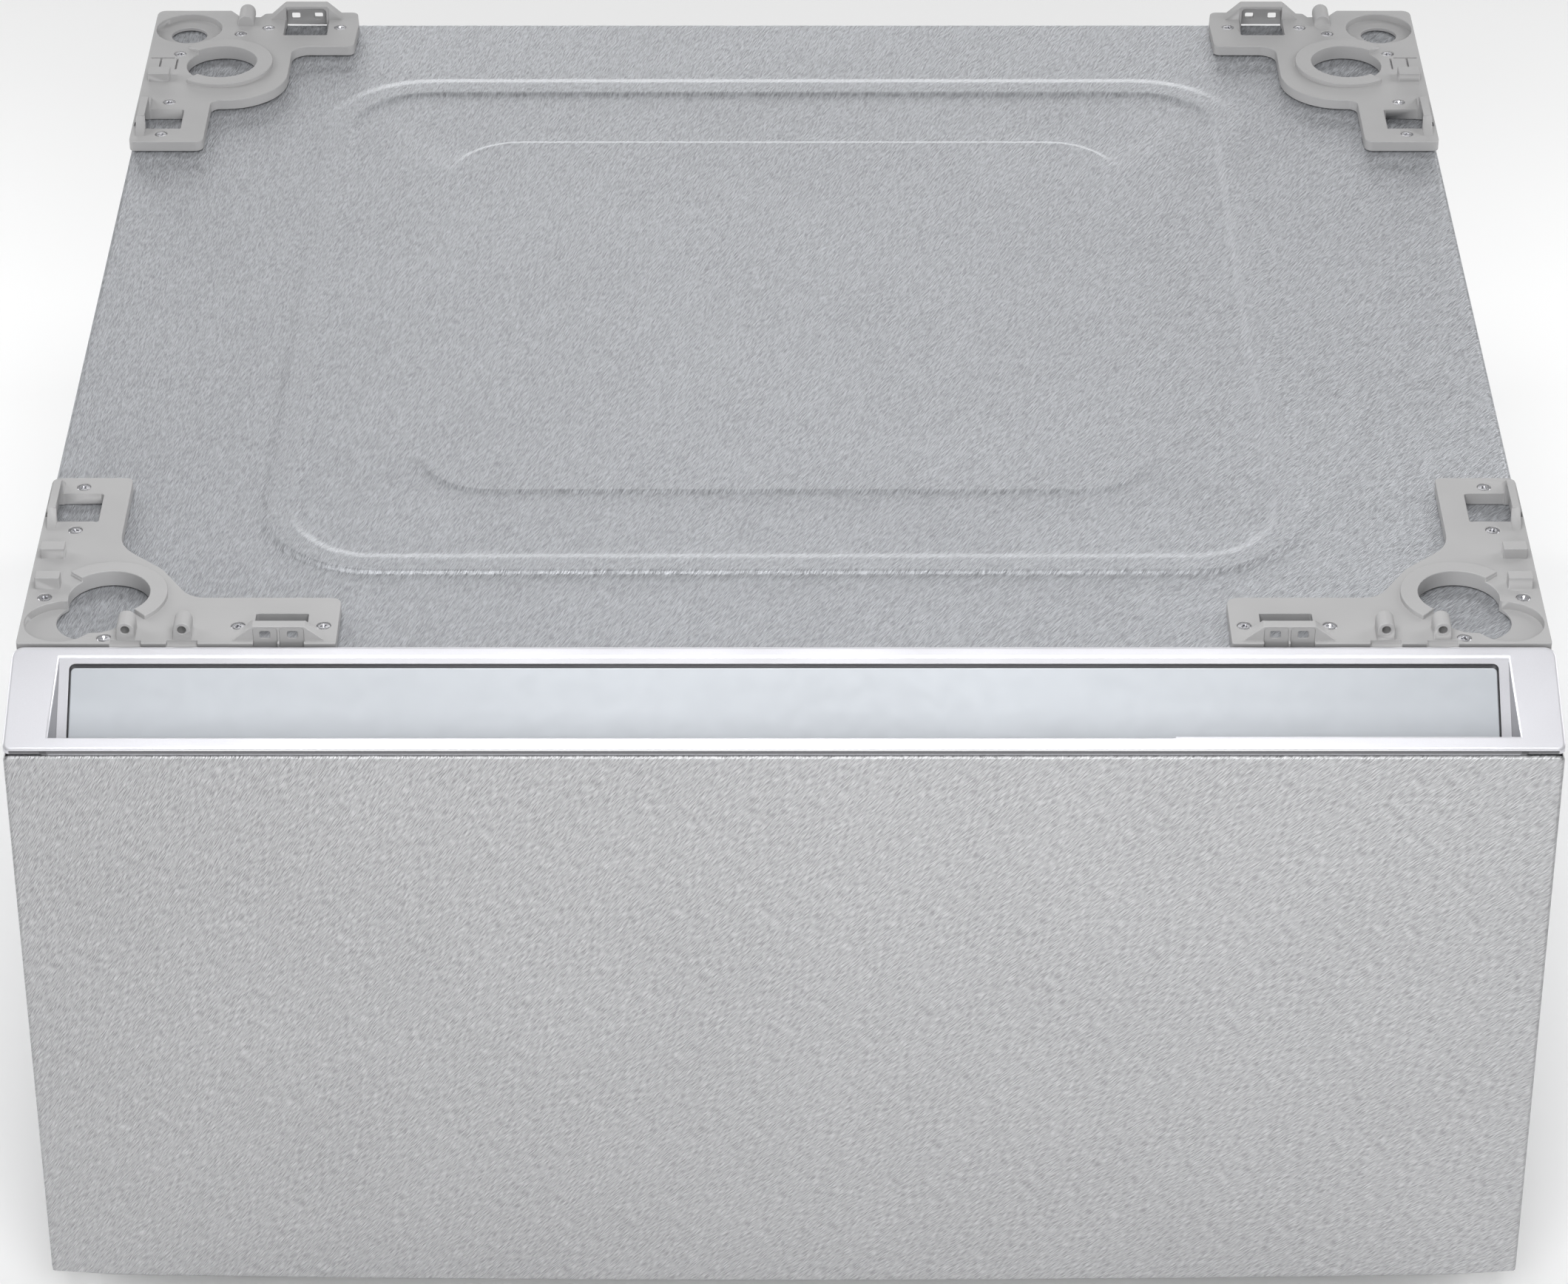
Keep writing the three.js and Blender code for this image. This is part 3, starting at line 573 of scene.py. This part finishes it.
def scatter(bm, places):
    """Copies of a bmesh at each matrix, as one bmesh; the matrices are in metres."""
    mesh = bpy.data.meshes.new("unit")
    bm.to_mesh(mesh)
    bm.free()
    whole = bmesh.new()
    for place in places:
        before = len(whole.verts)
        whole.from_mesh(mesh)
        whole.verts.ensure_lookup_table()
        bmesh.ops.transform(whole, matrix=place, verts=whole.verts[before:])
    bpy.data.meshes.remove(mesh)
    return whole


def at(x, y, z, turn=0.0, facing=(0, 0, 1)):
    """Matrix that puts a unit made about +Z at a point in millimetres, facing a direction."""
    look = Vector(facing).to_track_quat("Z", "Y").to_matrix().to_4x4()
    return Matrix.Translation(Vector((x, y, z)) * MM) @ look @ Matrix.Rotation(turn, 4, "Z")


# ---------------------------------------------------------------- top plate
PLATE_LOW, PLATE_HIGH = box_mm("top_plate")
SHEET = 1.2
PLATE_TOP = 338.5
PLATE_ROUND = 3.0
BEAD_FOOT_OUT = (245.8, -227.5, 278.0, 58)
BEAD_CREST_OUT = (238.8, -223.5, 270.0, 53)
BEAD_CREST_IN = (230.0, -214.5, 260.2, 43)
BEAD_FOOT_IN = (225.0, -207.3, 255.2, 38)
BEAD_RISE = 1.15
PANEL_EDGE = (172.5, -153.7, 202.7, 35)
PANEL_RISE = 0.8
PANEL_SLOPE = 4.0
SIDE_RISE_SHARE = 0.92
APPROACH_RINGS = 4


def plate_outline(edge, inset=0.0):
    """Points of an outline given as half width, front, back and corner radius."""
    half, y0, y1, radius = edge
    return rounded_rectangle((-half + inset, half - inset), (y0 + inset, y1 - inset), radius - inset, 10)


def ease(t):
    """Smooth step from 0 to 1."""
    return t * t * (3 - 2 * t)


def pressed_slope(outer, inner, z0, z1, steps=6):
    """Rings across one pressed slope, from its outer edge to its inner edge."""
    pairs = list(zip(plate_outline(outer), plate_outline(inner)))
    rings = []
    for i in range(steps + 1):
        t = i / steps
        rings.append([(a[0] + (b[0] - a[0]) * t, a[1] + (b[1] - a[1]) * t, z0 + (z1 - z0) * ease(t))
                      for a, b in pairs])
    return rings


def panel_slope(steps=6):
    """The inner panel's slope, strong along its front and back and all but gone along its sides."""
    _, y0, y1, radius = PANEL_EDGE
    outer = plate_outline(BEAD_FOOT_IN)
    rings = []
    for i in range(-APPROACH_RINGS, steps + 1):
        inset = (max(i, 0) / steps - 0.5) * PANEL_SLOPE
        ring = []
        for (x, y), (far_x, far_y) in zip(plate_outline(PANEL_EDGE, inset), outer):
            beyond = max(y0 + radius - y, y - y1 + radius, 0.0) / radius
            start = PANEL_RISE * SIDE_RISE_SHARE * (1 - ease(min(1.0, beyond * 1.3)))
            if i >= 0:
                rise = start + (PANEL_RISE - start) * ease(i / steps)
            else:
                rise = start * ease((i + APPROACH_RINGS) / APPROACH_RINGS)
                share = (i + APPROACH_RINGS + 0.4) / (APPROACH_RINGS + 0.4)
                x, y = far_x + (x - far_x) * share, far_y + (y - far_y) * share
            ring.append((x, y, PLATE_TOP + rise))
        rings.append(ring)
    return rings


def top_plate():
    """The bent-down sheet, its pressed field and its underside, as one closed skin."""
    half = PLATE_HIGH.x
    y0, y1 = PLATE_LOW.y, PLATE_HIGH.y

    def rim(inset, z):
        outline = rounded_rectangle((-half + inset, half - inset), (y0 + inset, y1 - inset),
                                    max(4.0 - inset, 0.6), 10)
        return [(x, y, z) for x, y in outline]

    edge = [rim(inset, PLATE_TOP - down) for inset, down in fillet(PLATE_ROUND)]
    field = pressed_slope(BEAD_FOOT_OUT, BEAD_CREST_OUT, PLATE_TOP, PLATE_TOP + BEAD_RISE)
    field += pressed_slope(BEAD_CREST_IN, BEAD_FOOT_IN, PLATE_TOP + BEAD_RISE, PLATE_TOP)
    field += panel_slope()
    underside = [[(x, y, z - SHEET) for x, y, z in ring] for ring in field]
    inside = [rim(PLATE_ROUND, PLATE_TOP - SHEET), rim(SHEET, PLATE_TOP - PLATE_ROUND),
              rim(SHEET, PLATE_LOW.z)]
    rings = underside[::-1] + inside + [rim(0, PLATE_LOW.z)] + edge + field
    return dress(object_from(skin_rings(rings), "top_plate_sheet"), "cabinet", "steel_top",
                 ["top_plate"], smooth_angle=50)


# ---------------------------------------------------------------- drawer front
SKIN_LOW, SKIN_HIGH = box_mm("drawer_front_skin")
PANEL_BOTTOM = 28
PANEL_DIP = 4
PANEL_SHEET = 1.0
PANEL_ROUND = 1.8
BOTTOM_SPANS = 24
TOP_OPENING = 8


def front_outline(inset):
    """The panel's outline in X and Z; its bottom edge hangs lowest in the middle."""
    half = SKIN_HIGH.x - inset
    radius = max(2.5 - inset, 0.3)
    top = SKIN_HIGH.z - inset
    points = []
    last_span = BOTTOM_SPANS / 2
    for step in range(BOTTOM_SPANS + 1):
        across = step / last_span - 1
        dip = PANEL_DIP * (1 - across * across)
        corner = radius * max(0.0, (abs(across) - (last_span - 1) / last_span) * last_span) ** 4
        points.append((half * across * (1 - 0.0005 * (corner > 0)),
                       PANEL_BOTTOM + inset - dip + corner))
    points.append((half, PANEL_BOTTOM + inset + radius * 2))
    points.append((half, top - radius))
    points.append((half - radius * 0.3, top - radius * 0.3))
    points.append((half - radius, top))
    points.append((-half + radius, top))
    points.append((-half + radius * 0.3, top - radius * 0.3))
    points.append((-half, top - radius))
    points.append((-half, PANEL_BOTTOM + inset + radius * 2))
    return points


def drawer_front_skin():
    """A tray of sheet with a rounded front edge, open along its top, where the handle sits."""
    front, back = SKIN_LOW.y, SKIN_HIGH.y
    rings = []
    for inset, y in ((PANEL_SHEET + PANEL_ROUND, front + PANEL_SHEET), (PANEL_SHEET, front + 3),
                     (PANEL_SHEET, back), (0, back)):
        rings.append([(x, y, z) for x, z in front_outline(inset)])
    for inset, down in fillet(PANEL_ROUND, 5):
        rings.append([(x, front + down, z) for x, z in front_outline(inset)])
    sheet = object_from(skin_rings(rings), "drawer_front_sheet")
    reach = SKIN_HIGH.x - PANEL_SHEET
    top = [(front + PANEL_SHEET, SKIN_HIGH.z - TOP_OPENING), (back + 1, SKIN_HIGH.z - TOP_OPENING),
           (back + 1, SKIN_HIGH.z + 1), (front + PANEL_SHEET, SKIN_HIGH.z + 1)]
    carve(sheet, [object_from(along_x(top, lambda side, y, z: side * reach), "open_top_tool")])
    return dress(sheet, "drawer", "steel_front",
                 ["drawer_front_skin"], smooth_angle=50)


# ---------------------------------------------------------------- handle
def along_x(section, ends):
    """Prism through a section of (y, z) points; ends gives each point's X at both ends."""
    return skin_rings([[(ends(side, y, z), y, z) for y, z in section] for side in (-1, 1)])


def pocket_end(side, y, z):
    half = POCKET_HALF - POCKET_TAPER * (y - POCKET_FRONT) + POCKET_SPLAY * (z - trim_top(POCKET_FRONT))
    return side * half


def trim_body():
    half, y0, y1 = TRIM_HIGH.x, TRIM_LOW.y, TRIM_HIGH.y

    def outline(inset):
        return rounded_rectangle((-half + inset, half - inset), (y0 + inset, y1 - inset),
                                 [3.5 - inset, 3.5 - inset, 5 - inset, 5 - inset], 8)

    rings = [[(x, y, LIP_BOTTOM + up) for x, y in outline(inset)]
             for inset, up in ((0.4, 0.0), (0.12, 0.12), (0.0, 0.4))]
    for inset, down in fillet(TRIM_ROUND, 5):
        rings.append([(x, y, trim_top(y) - down * 0.5) for x, y in outline(inset)])
    return rings


def handle_trim():
    """The sloping top with its lip, a trough below it, and the finger pocket and inset's recess cut in."""
    wall = 6.5
    trough_floor = TRIM_LOW.z
    seat = LIP_BOTTOM + 0.2
    trough_front = TRIM_LOW.y + 1.5
    body = object_from(skin_rings(trim_body()), "handle_trim_moulding")
    trough = along_x(
        [(trough_front, trough_floor), (trough_front, seat), (wall_y(seat, wall), seat),
         (wall_y(trough_floor + 5, wall), trough_floor + 5),
         (wall_y(trough_floor + 5, wall) - 2, trough_floor)],
        lambda side, y, z: side * (POCKET_HALF + 2.5))
    carve(body, [object_from(trough, "trough_tool")], "UNION")

    above = 360
    pocket = along_x(
        [(POCKET_FRONT - 0.6, POCKET_FLOOR), (wall_y(POCKET_FLOOR), POCKET_FLOOR), WALL_TOP,
         (WALL_TOP[0], above), (POCKET_FRONT, above), (POCKET_FRONT, trim_top(POCKET_FRONT))], pocket_end)
    carve(body, [object_from(pocket, "pocket_tool")])

    bm = bmesh.new()
    bm.from_mesh(body.data)
    bmesh.ops.dissolve_limit(bm, angle_limit=math.radians(0.3), verts=bm.verts, edges=bm.edges)
    rim = [e for e in bm.edges if all(on_pocket_rim(v.co / MM) for v in e.verts)]
    bmesh.ops.bevel(bm, geom=rim, offset=POCKET_ROUND * MM, segments=4, profile=0.5, affect="EDGES",
                    clamp_overlap=False)
    bm.to_mesh(body.data)
    bm.free()
    recess = wall_slab(INSET_HALF + INSET_GAP, INSET_BOTTOM, INSET_TOP + INSET_GAP, 2.6,
                       [(0, -INSET_SHEET - 0.2), (0, 2)])
    carve(body, [recess])
    return dress(body, "drawer", "silver_trim", replaced=["handle_trim"], smooth_angle=38)


def on_pocket_rim(point):
    """Whether a point in millimetres lies on the pocket's upper edge."""
    x, y, z = point
    on_top = abs(z - trim_top(y)) < 0.05
    on_wall_top = abs(y - WALL_TOP[0]) < 0.05 and abs(z - WALL_TOP[1]) < 0.1
    in_pocket = abs(x) < POCKET_HALF + 1 and POCKET_FRONT - 0.1 < y < WALL_TOP[0] + 0.1
    return (on_top or on_wall_top) and in_pocket


def wall_slab(half, bottom, top, radius, layers):
    """A rounded slab lying on the pocket's back wall; layers are (inset, height off the wall) pairs."""
    lean = math.atan2(1, WALL_LEAN)
    length = (top - bottom) / math.sin(lean)
    rings = []
    for inset, height in layers:
        outline = rounded_rectangle((-half + inset, half - inset), (inset, length - inset), radius - inset, 6)
        rings.append([(x, y, height) for x, y in outline])
    slab = object_from(skin_rings(rings), "wall_slab")
    tilt = Matrix.Rotation(lean, 4, "X")
    slab.data.transform(Matrix.Translation(Vector((0, wall_y(bottom), bottom)) * MM) @ tilt)
    return slab


def handle_inset():
    depth = INSET_SHEET * math.sin(math.atan2(1, WALL_LEAN))
    layers = [(0.4, -depth), (0, 0.4 - depth)] + [(inset, -down) for inset, down in fillet(0.5, 3)]
    plate = wall_slab(INSET_HALF, INSET_BOTTOM + 0.3, INSET_TOP + INSET_GAP - INSET_TOP_GAP, 2.0, layers)
    return dress(plate, "drawer", "handle_inset", replaced=["handle_inset"], smooth_angle=40)


# ---------------------------------------------------------------- screws
def cross_screw(head_radius, head_height, countersunk=True):
    """A cross-head screw about +Z, the top of its head at Z 0."""
    steps = 5
    angles = [math.pi / 2 * step / steps for step in range(1, steps + 1)]
    dome = [(head_radius * math.sin(a), -head_height * (1 - math.cos(a))) for a in angles]
    if countersunk:
        profile = [(0, 0)] + [(r, z * 0.25) for r, z in dome]
        profile += [(head_radius * 0.55, -head_height * 1.4), (head_radius * 0.5, -head_height * 2.4)]
    else:
        profile = [(0, 0)] + dome + [(head_radius * 0.98, -head_height * 1.15),
                                     (head_radius * 0.5, -head_height * 1.15)]
    profile.append((0, profile[-1][1]))
    head = object_from(turned(profile, 24), "screw_unit")
    arm, width, depth = head_radius * 0.62, head_radius * 0.2, head_height * 0.9
    cutters = []
    for x, y in ((arm, width), (width, arm)):
        low = [(sx * x * 0.55, sy * y * 0.55, -depth) for sx, sy in ((-1, -1), (1, -1), (1, 1), (-1, 1))]
        high = [(sx * x, sy * y, 0.5) for sx, sy in ((-1, -1), (1, -1), (1, 1), (-1, 1))]
        cutters.append(object_from(skin_rings([low, high]), "slot_tool"))
    carve(head, cutters)
    bm = bmesh.new()
    bm.from_mesh(head.data)
    bpy.data.objects.remove(head)
    return bm


def screw_set(name, body, unit, places):
    made = object_from(scatter(unit, places), name)
    return dress(made, body, "screw_chrome", smooth_angle=30)


RETAINER_SCREWS = {
    "rear": [(-326, 296), (-295.5, 320.5), (-281, 328), (-242, 328.5), (-326.3, 238.5), (-327, 201.5)],
    "front": [(-326.8, -158.5), (-326.5, -197), (-333.7, -255.2), (-303.4, -289), (-244.3, -279),
              (-206, -278.8)],
}
FLANGE_TOP = 344.5


def retainers():
    for end in ENDS:
        for side_name, side in SIDES.items():
            node = f"retainer_{end}_{side_name}"
            moulding = object_from(soften(cad_copy(node), 0.45), f"{node}_moulding")
            dress(moulding, "cabinet", "retainer_plastic", replaced=[node], smooth_angle=40)
            places = [at(-side * x, y, FLANGE_TOP - 0.25, turn=0.9 * i + side)
                      for i, (x, y) in enumerate(RETAINER_SCREWS[end])]
            screw_set(f"{node}_screws", "cabinet", cross_screw(3.15, 1.3), places)


# ---------------------------------------------------------------- feet
PITCH = 1.5
THREAD_DEPTH = 0.8


def threaded_stud(node):
    """The stud with its pressed flange, and a thread cut as a helix."""
    low, high = box_mm(node)
    centre = (low + high) / 2
    radius = 5.0
    segments = 32
    flange_bottom = low.z
    rings = [(3.0, flange_bottom), (14.6, flange_bottom), (15, flange_bottom + 0.4),
             (15, flange_bottom + 1.4), (14.4, flange_bottom + 1.9), (9.6, flange_bottom + 4.6),
             (8.6, flange_bottom + 5.3), (6.0, flange_bottom + 6.0), (radius, flange_bottom + 6.4)]
    rows = [[(centre.x + r * math.cos(2 * math.pi * i / segments),
              centre.y + r * math.sin(2 * math.pi * i / segments), z) for i in range(segments)]
            for r, z in rings]
    start, end = flange_bottom + 7.4, high.z - 0.8
    steps = int((end - start) / PITCH * 5)
    for step in range(steps + 1):
        row = []
        for i in range(segments):
            angle = 2 * math.pi * i / segments
            z = start + (end - start) * step / steps
            turn = (z / PITCH - i / segments) % 1
            fade = min(1.0, step / 4, (steps - step) / 4)
            r = radius - THREAD_DEPTH * fade * (1 - abs(2 * turn - 1))
            row.append((centre.x + r * math.cos(angle), centre.y + r * math.sin(angle), z))
        rows.append(row)
    rows.append([(centre.x + (p[0] - centre.x) * 0.8, centre.y + (p[1] - centre.y) * 0.8, high.z)
                 for p in rows[-1]])
    return skin_rings(rows)


def foot_pad(node):
    """The rubber pad, with a rounded rim and two ring grooves underneath."""
    low, high = box_mm(node)
    centre = (low + high) / 2
    radius = high.x - centre.x
    profile = [(0, 0), (6, 0), (6.6, 0.9), (8.4, 0.9), (9, 0), (14, 0), (14.6, 0.9), (16.4, 0.9), (17, 0),
               (radius - 1.4, 0), (radius - 0.4, 0.5), (radius, 1.6), (radius - 0.5, 3.2),
               (radius - 1.6, high.z - 1.2), (radius - 2.4, high.z - 0.3), (radius - 3.4, high.z),
               (16, high.z), (15.6, high.z - 0.5), (2, high.z - 0.5), (0, high.z - 0.5)]
    bm = turned(profile, 48)
    bmesh.ops.translate(bm, vec=Vector((centre.x, centre.y, low.z)) * MM, verts=bm.verts)
    return bm


def feet():
    for end in ENDS:
        for side_name in SIDES:
            corner = f"{end}_{side_name}"
            stud, pad = f"foot_stud_{corner}", f"foot_pad_{corner}"
            dress(object_from(threaded_stud(stud), f"{stud}_threaded"), f"foot_{corner}", "bright_zinc",
                  replaced=[stud], smooth_angle=50)
            dress(object_from(foot_pad(pad), f"{pad}_rubber"), f"foot_{corner}", "black_rubber",
                  replaced=[pad], smooth_angle=50)


# ---------------------------------------------------------------- slides
# How far in from the slide's web the balls lie, half the gap between their two rows, and their radius.
BALL_PITCH = 12.0
BALL_END = 8
BALL_ROWS = {"outer": (5.6, 19.25, 1.85), "inner": (7.6, 13.8, 2.0)}


def slide_balls():
    for row, (inwards, apart, radius) in BALL_ROWS.items():
        for side_name, side in SIDES.items():
            body = f"ball_cage_{row}_{side_name}"
            low, high = box_mm(body)
            web = box_mm(f"slide_outer_{side_name}")
            face = web[0].x if side < 0 else web[1].x
            middle = (low.z + high.z) / 2
            unit = bmesh.new()
            bmesh.ops.create_icosphere(unit, subdivisions=2, radius=radius * MM)
            count = int((high.y - low.y - BALL_END) / BALL_PITCH)
            places = [at(face - side * inwards, low.y + BALL_END + i * BALL_PITCH, middle + updown * apart)
                      for i in range(count + 1) for updown in (-1, 1)]
            balls = object_from(scatter(unit, places), f"{body}_balls")
            dress(balls, body, "screw_chrome", smooth_angle=60)


# ---------------------------------------------------------------- small fixings
def washer_screw():
    """A hexagon-head sheet-metal screw with its washer, about +Z, seated at Z 0."""
    rings = []
    for radius, z in ((6.0, 0.0), (6.0, 0.7), (5.6, 1.0), (4.6, 1.2)):
        rings.append([(radius * math.cos(math.pi * i / 12), radius * math.sin(math.pi * i / 12), z)
                      for i in range(24)])
    for scale, z in ((1.0, 1.2), (1.0, 4.0), (0.86, 4.7)):
        ring = []
        for i in range(24):
            within = (i % 4) / 4 * 60 - 30
            radius = 3.6 * math.cos(math.radians(30)) / math.cos(math.radians(within)) * scale
            ring.append((radius * math.cos(math.pi * i / 12), radius * math.sin(math.pi * i / 12), z))
        rings.append(ring)
    return skin_rings(rings)


PAN_RADIUS = 4.2
PAN_HEIGHT = 1.8
PAN_SEAT = 2.07


def pan_screw():
    """A pan-head screw about +Z, seated at Z 0."""
    pan = cross_screw(PAN_RADIUS, PAN_HEIGHT, countersunk=False)
    bmesh.ops.translate(pan, vec=(0, 0, PAN_SEAT * MM), verts=pan.verts)
    return pan


def small_fixings():
    low, high = box_mm("back_panel")
    back = high.y - 2.0
    spots = [(x, z) for x in (-335, -200, -67, 67, 200, 335) for z in (low.z + 10, high.z - 10)]
    spots += [(x, z) for x in (-335, 335) for z in (120, 220)]
    places = [at(x, back, z, turn=0.3 * i, facing=(0, 1, 0)) for i, (x, z) in enumerate(spots)]
    screw_set("back_panel_screws", "cabinet", washer_screw(), places)

    _, high = box_mm("tub_front")
    spots = [(x, z) for x in (-280, -140, 140, 280) for z in (90, 215)]
    places = [at(x, high.y, z, turn=0.5 * i, facing=(0, 1, 0)) for i, (x, z) in enumerate(spots)]
    screw_set("tub_front_screws", "drawer", pan_screw(), places)

    for side_name, side in SIDES.items():
        inner = box_mm(f"tub_side_{side_name}")
        face = inner[1].x if side < 0 else inner[0].x
        places = [at(face, y, 110, turn=0.7 * i, facing=(-side, 0, 0))
                  for i, y in enumerate((-250, -120, 10, 140))]
        screw_set(f"tub_side_screws_{side_name}", "drawer", pan_screw(), places)


# ---------------------------------------------------------------- pieces that keep the CAD's shape
def soft_copies():
    """Mouldings whose CAD shape is right and only needs rounded edges."""
    dress(object_from(soften(cad_copy("drawer_divider"), 0.35), "drawer_divider_moulding"),
          "drawer", "divider_plastic", replaced=["drawer_divider"])
    for height in ("low", "high"):
        for side_name in SIDES:
            node = f"drawer_bumper_{height}_{side_name}"
            dress(object_from(soften(cad_copy(node), 0.5, segments=3), f"{node}_rubber"), "cabinet",
                  "black_rubber", replaced=[node])


def keep_node(node, material, edge_mm):
    """A CAD node stays, with rounded edges and its own material."""
    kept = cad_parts[node]
    kept.data.materials.clear()
    kept.data.materials.append(MATERIALS[material])
    weld = kept.modifiers.new("weld", "WELD")
    weld.merge_threshold = 0.002 * MM
    flat = kept.modifiers.new("flat_faces", "DECIMATE")
    flat.decimate_type = "DISSOLVE"
    flat.angle_limit = math.radians(0.4)
    edge = kept.modifiers.new("edges", "BEVEL")
    edge.width = edge_mm * MM
    edge.segments = 2
    edge.limit_method = "ANGLE"
    edge.angle_limit = math.radians(35)
    edge.use_clamp_overlap = False


def kept_nodes():
    """Sheet metal, slides and nuts, whose CAD meshes are shown as they are."""
    for node in ("back_panel", "front_header_rail", "front_base_rail", "rear_base_rail"):
        keep_node(node, "galvanised_steel", 0.3)
    for node in ("drawer_front_liner", "tub_floor", "tub_front", "tub_back"):
        keep_node(node, "tub_paint", 0.25)
    for side_name in SIDES:
        keep_node(f"side_panel_{side_name}", "steel_side", 0.4)
        keep_node(f"tub_side_{side_name}", "tub_paint", 0.3)
        for part in ("slide_bracket", "slide_outer", "slide_middle", "slide_inner"):
            keep_node(f"{part}_{side_name}", "bright_zinc", 0.25)
        for part in ("ball_cage_outer", "ball_cage_inner"):
            keep_node(f"{part}_{side_name}", "bright_zinc", 0.12)
        for end in ENDS:
            keep_node(f"foot_bracket_{end}_{side_name}", "galvanised_steel", 0.4)
            keep_node(f"lock_nut_{end}_{side_name}", "bright_zinc", 0.4)


def floor():
    """A wide pale slab, its top at Z 0."""
    half = 6000
    rings = [[(x * half, y * half, z) for x, y in ((-1, -1), (1, -1), (1, 1), (-1, 1))] for z in (-19, 0)]
    ground = object_from(skin_rings(rings), "studio_floor")
    ground.data.materials.append(floor_material())


make_camera()
make_light()
floor()
top_plate()
drawer_front_skin()
handle_trim()
handle_inset()
retainers()
feet()
slide_balls()
small_fixings()
soft_copies()
kept_nodes()
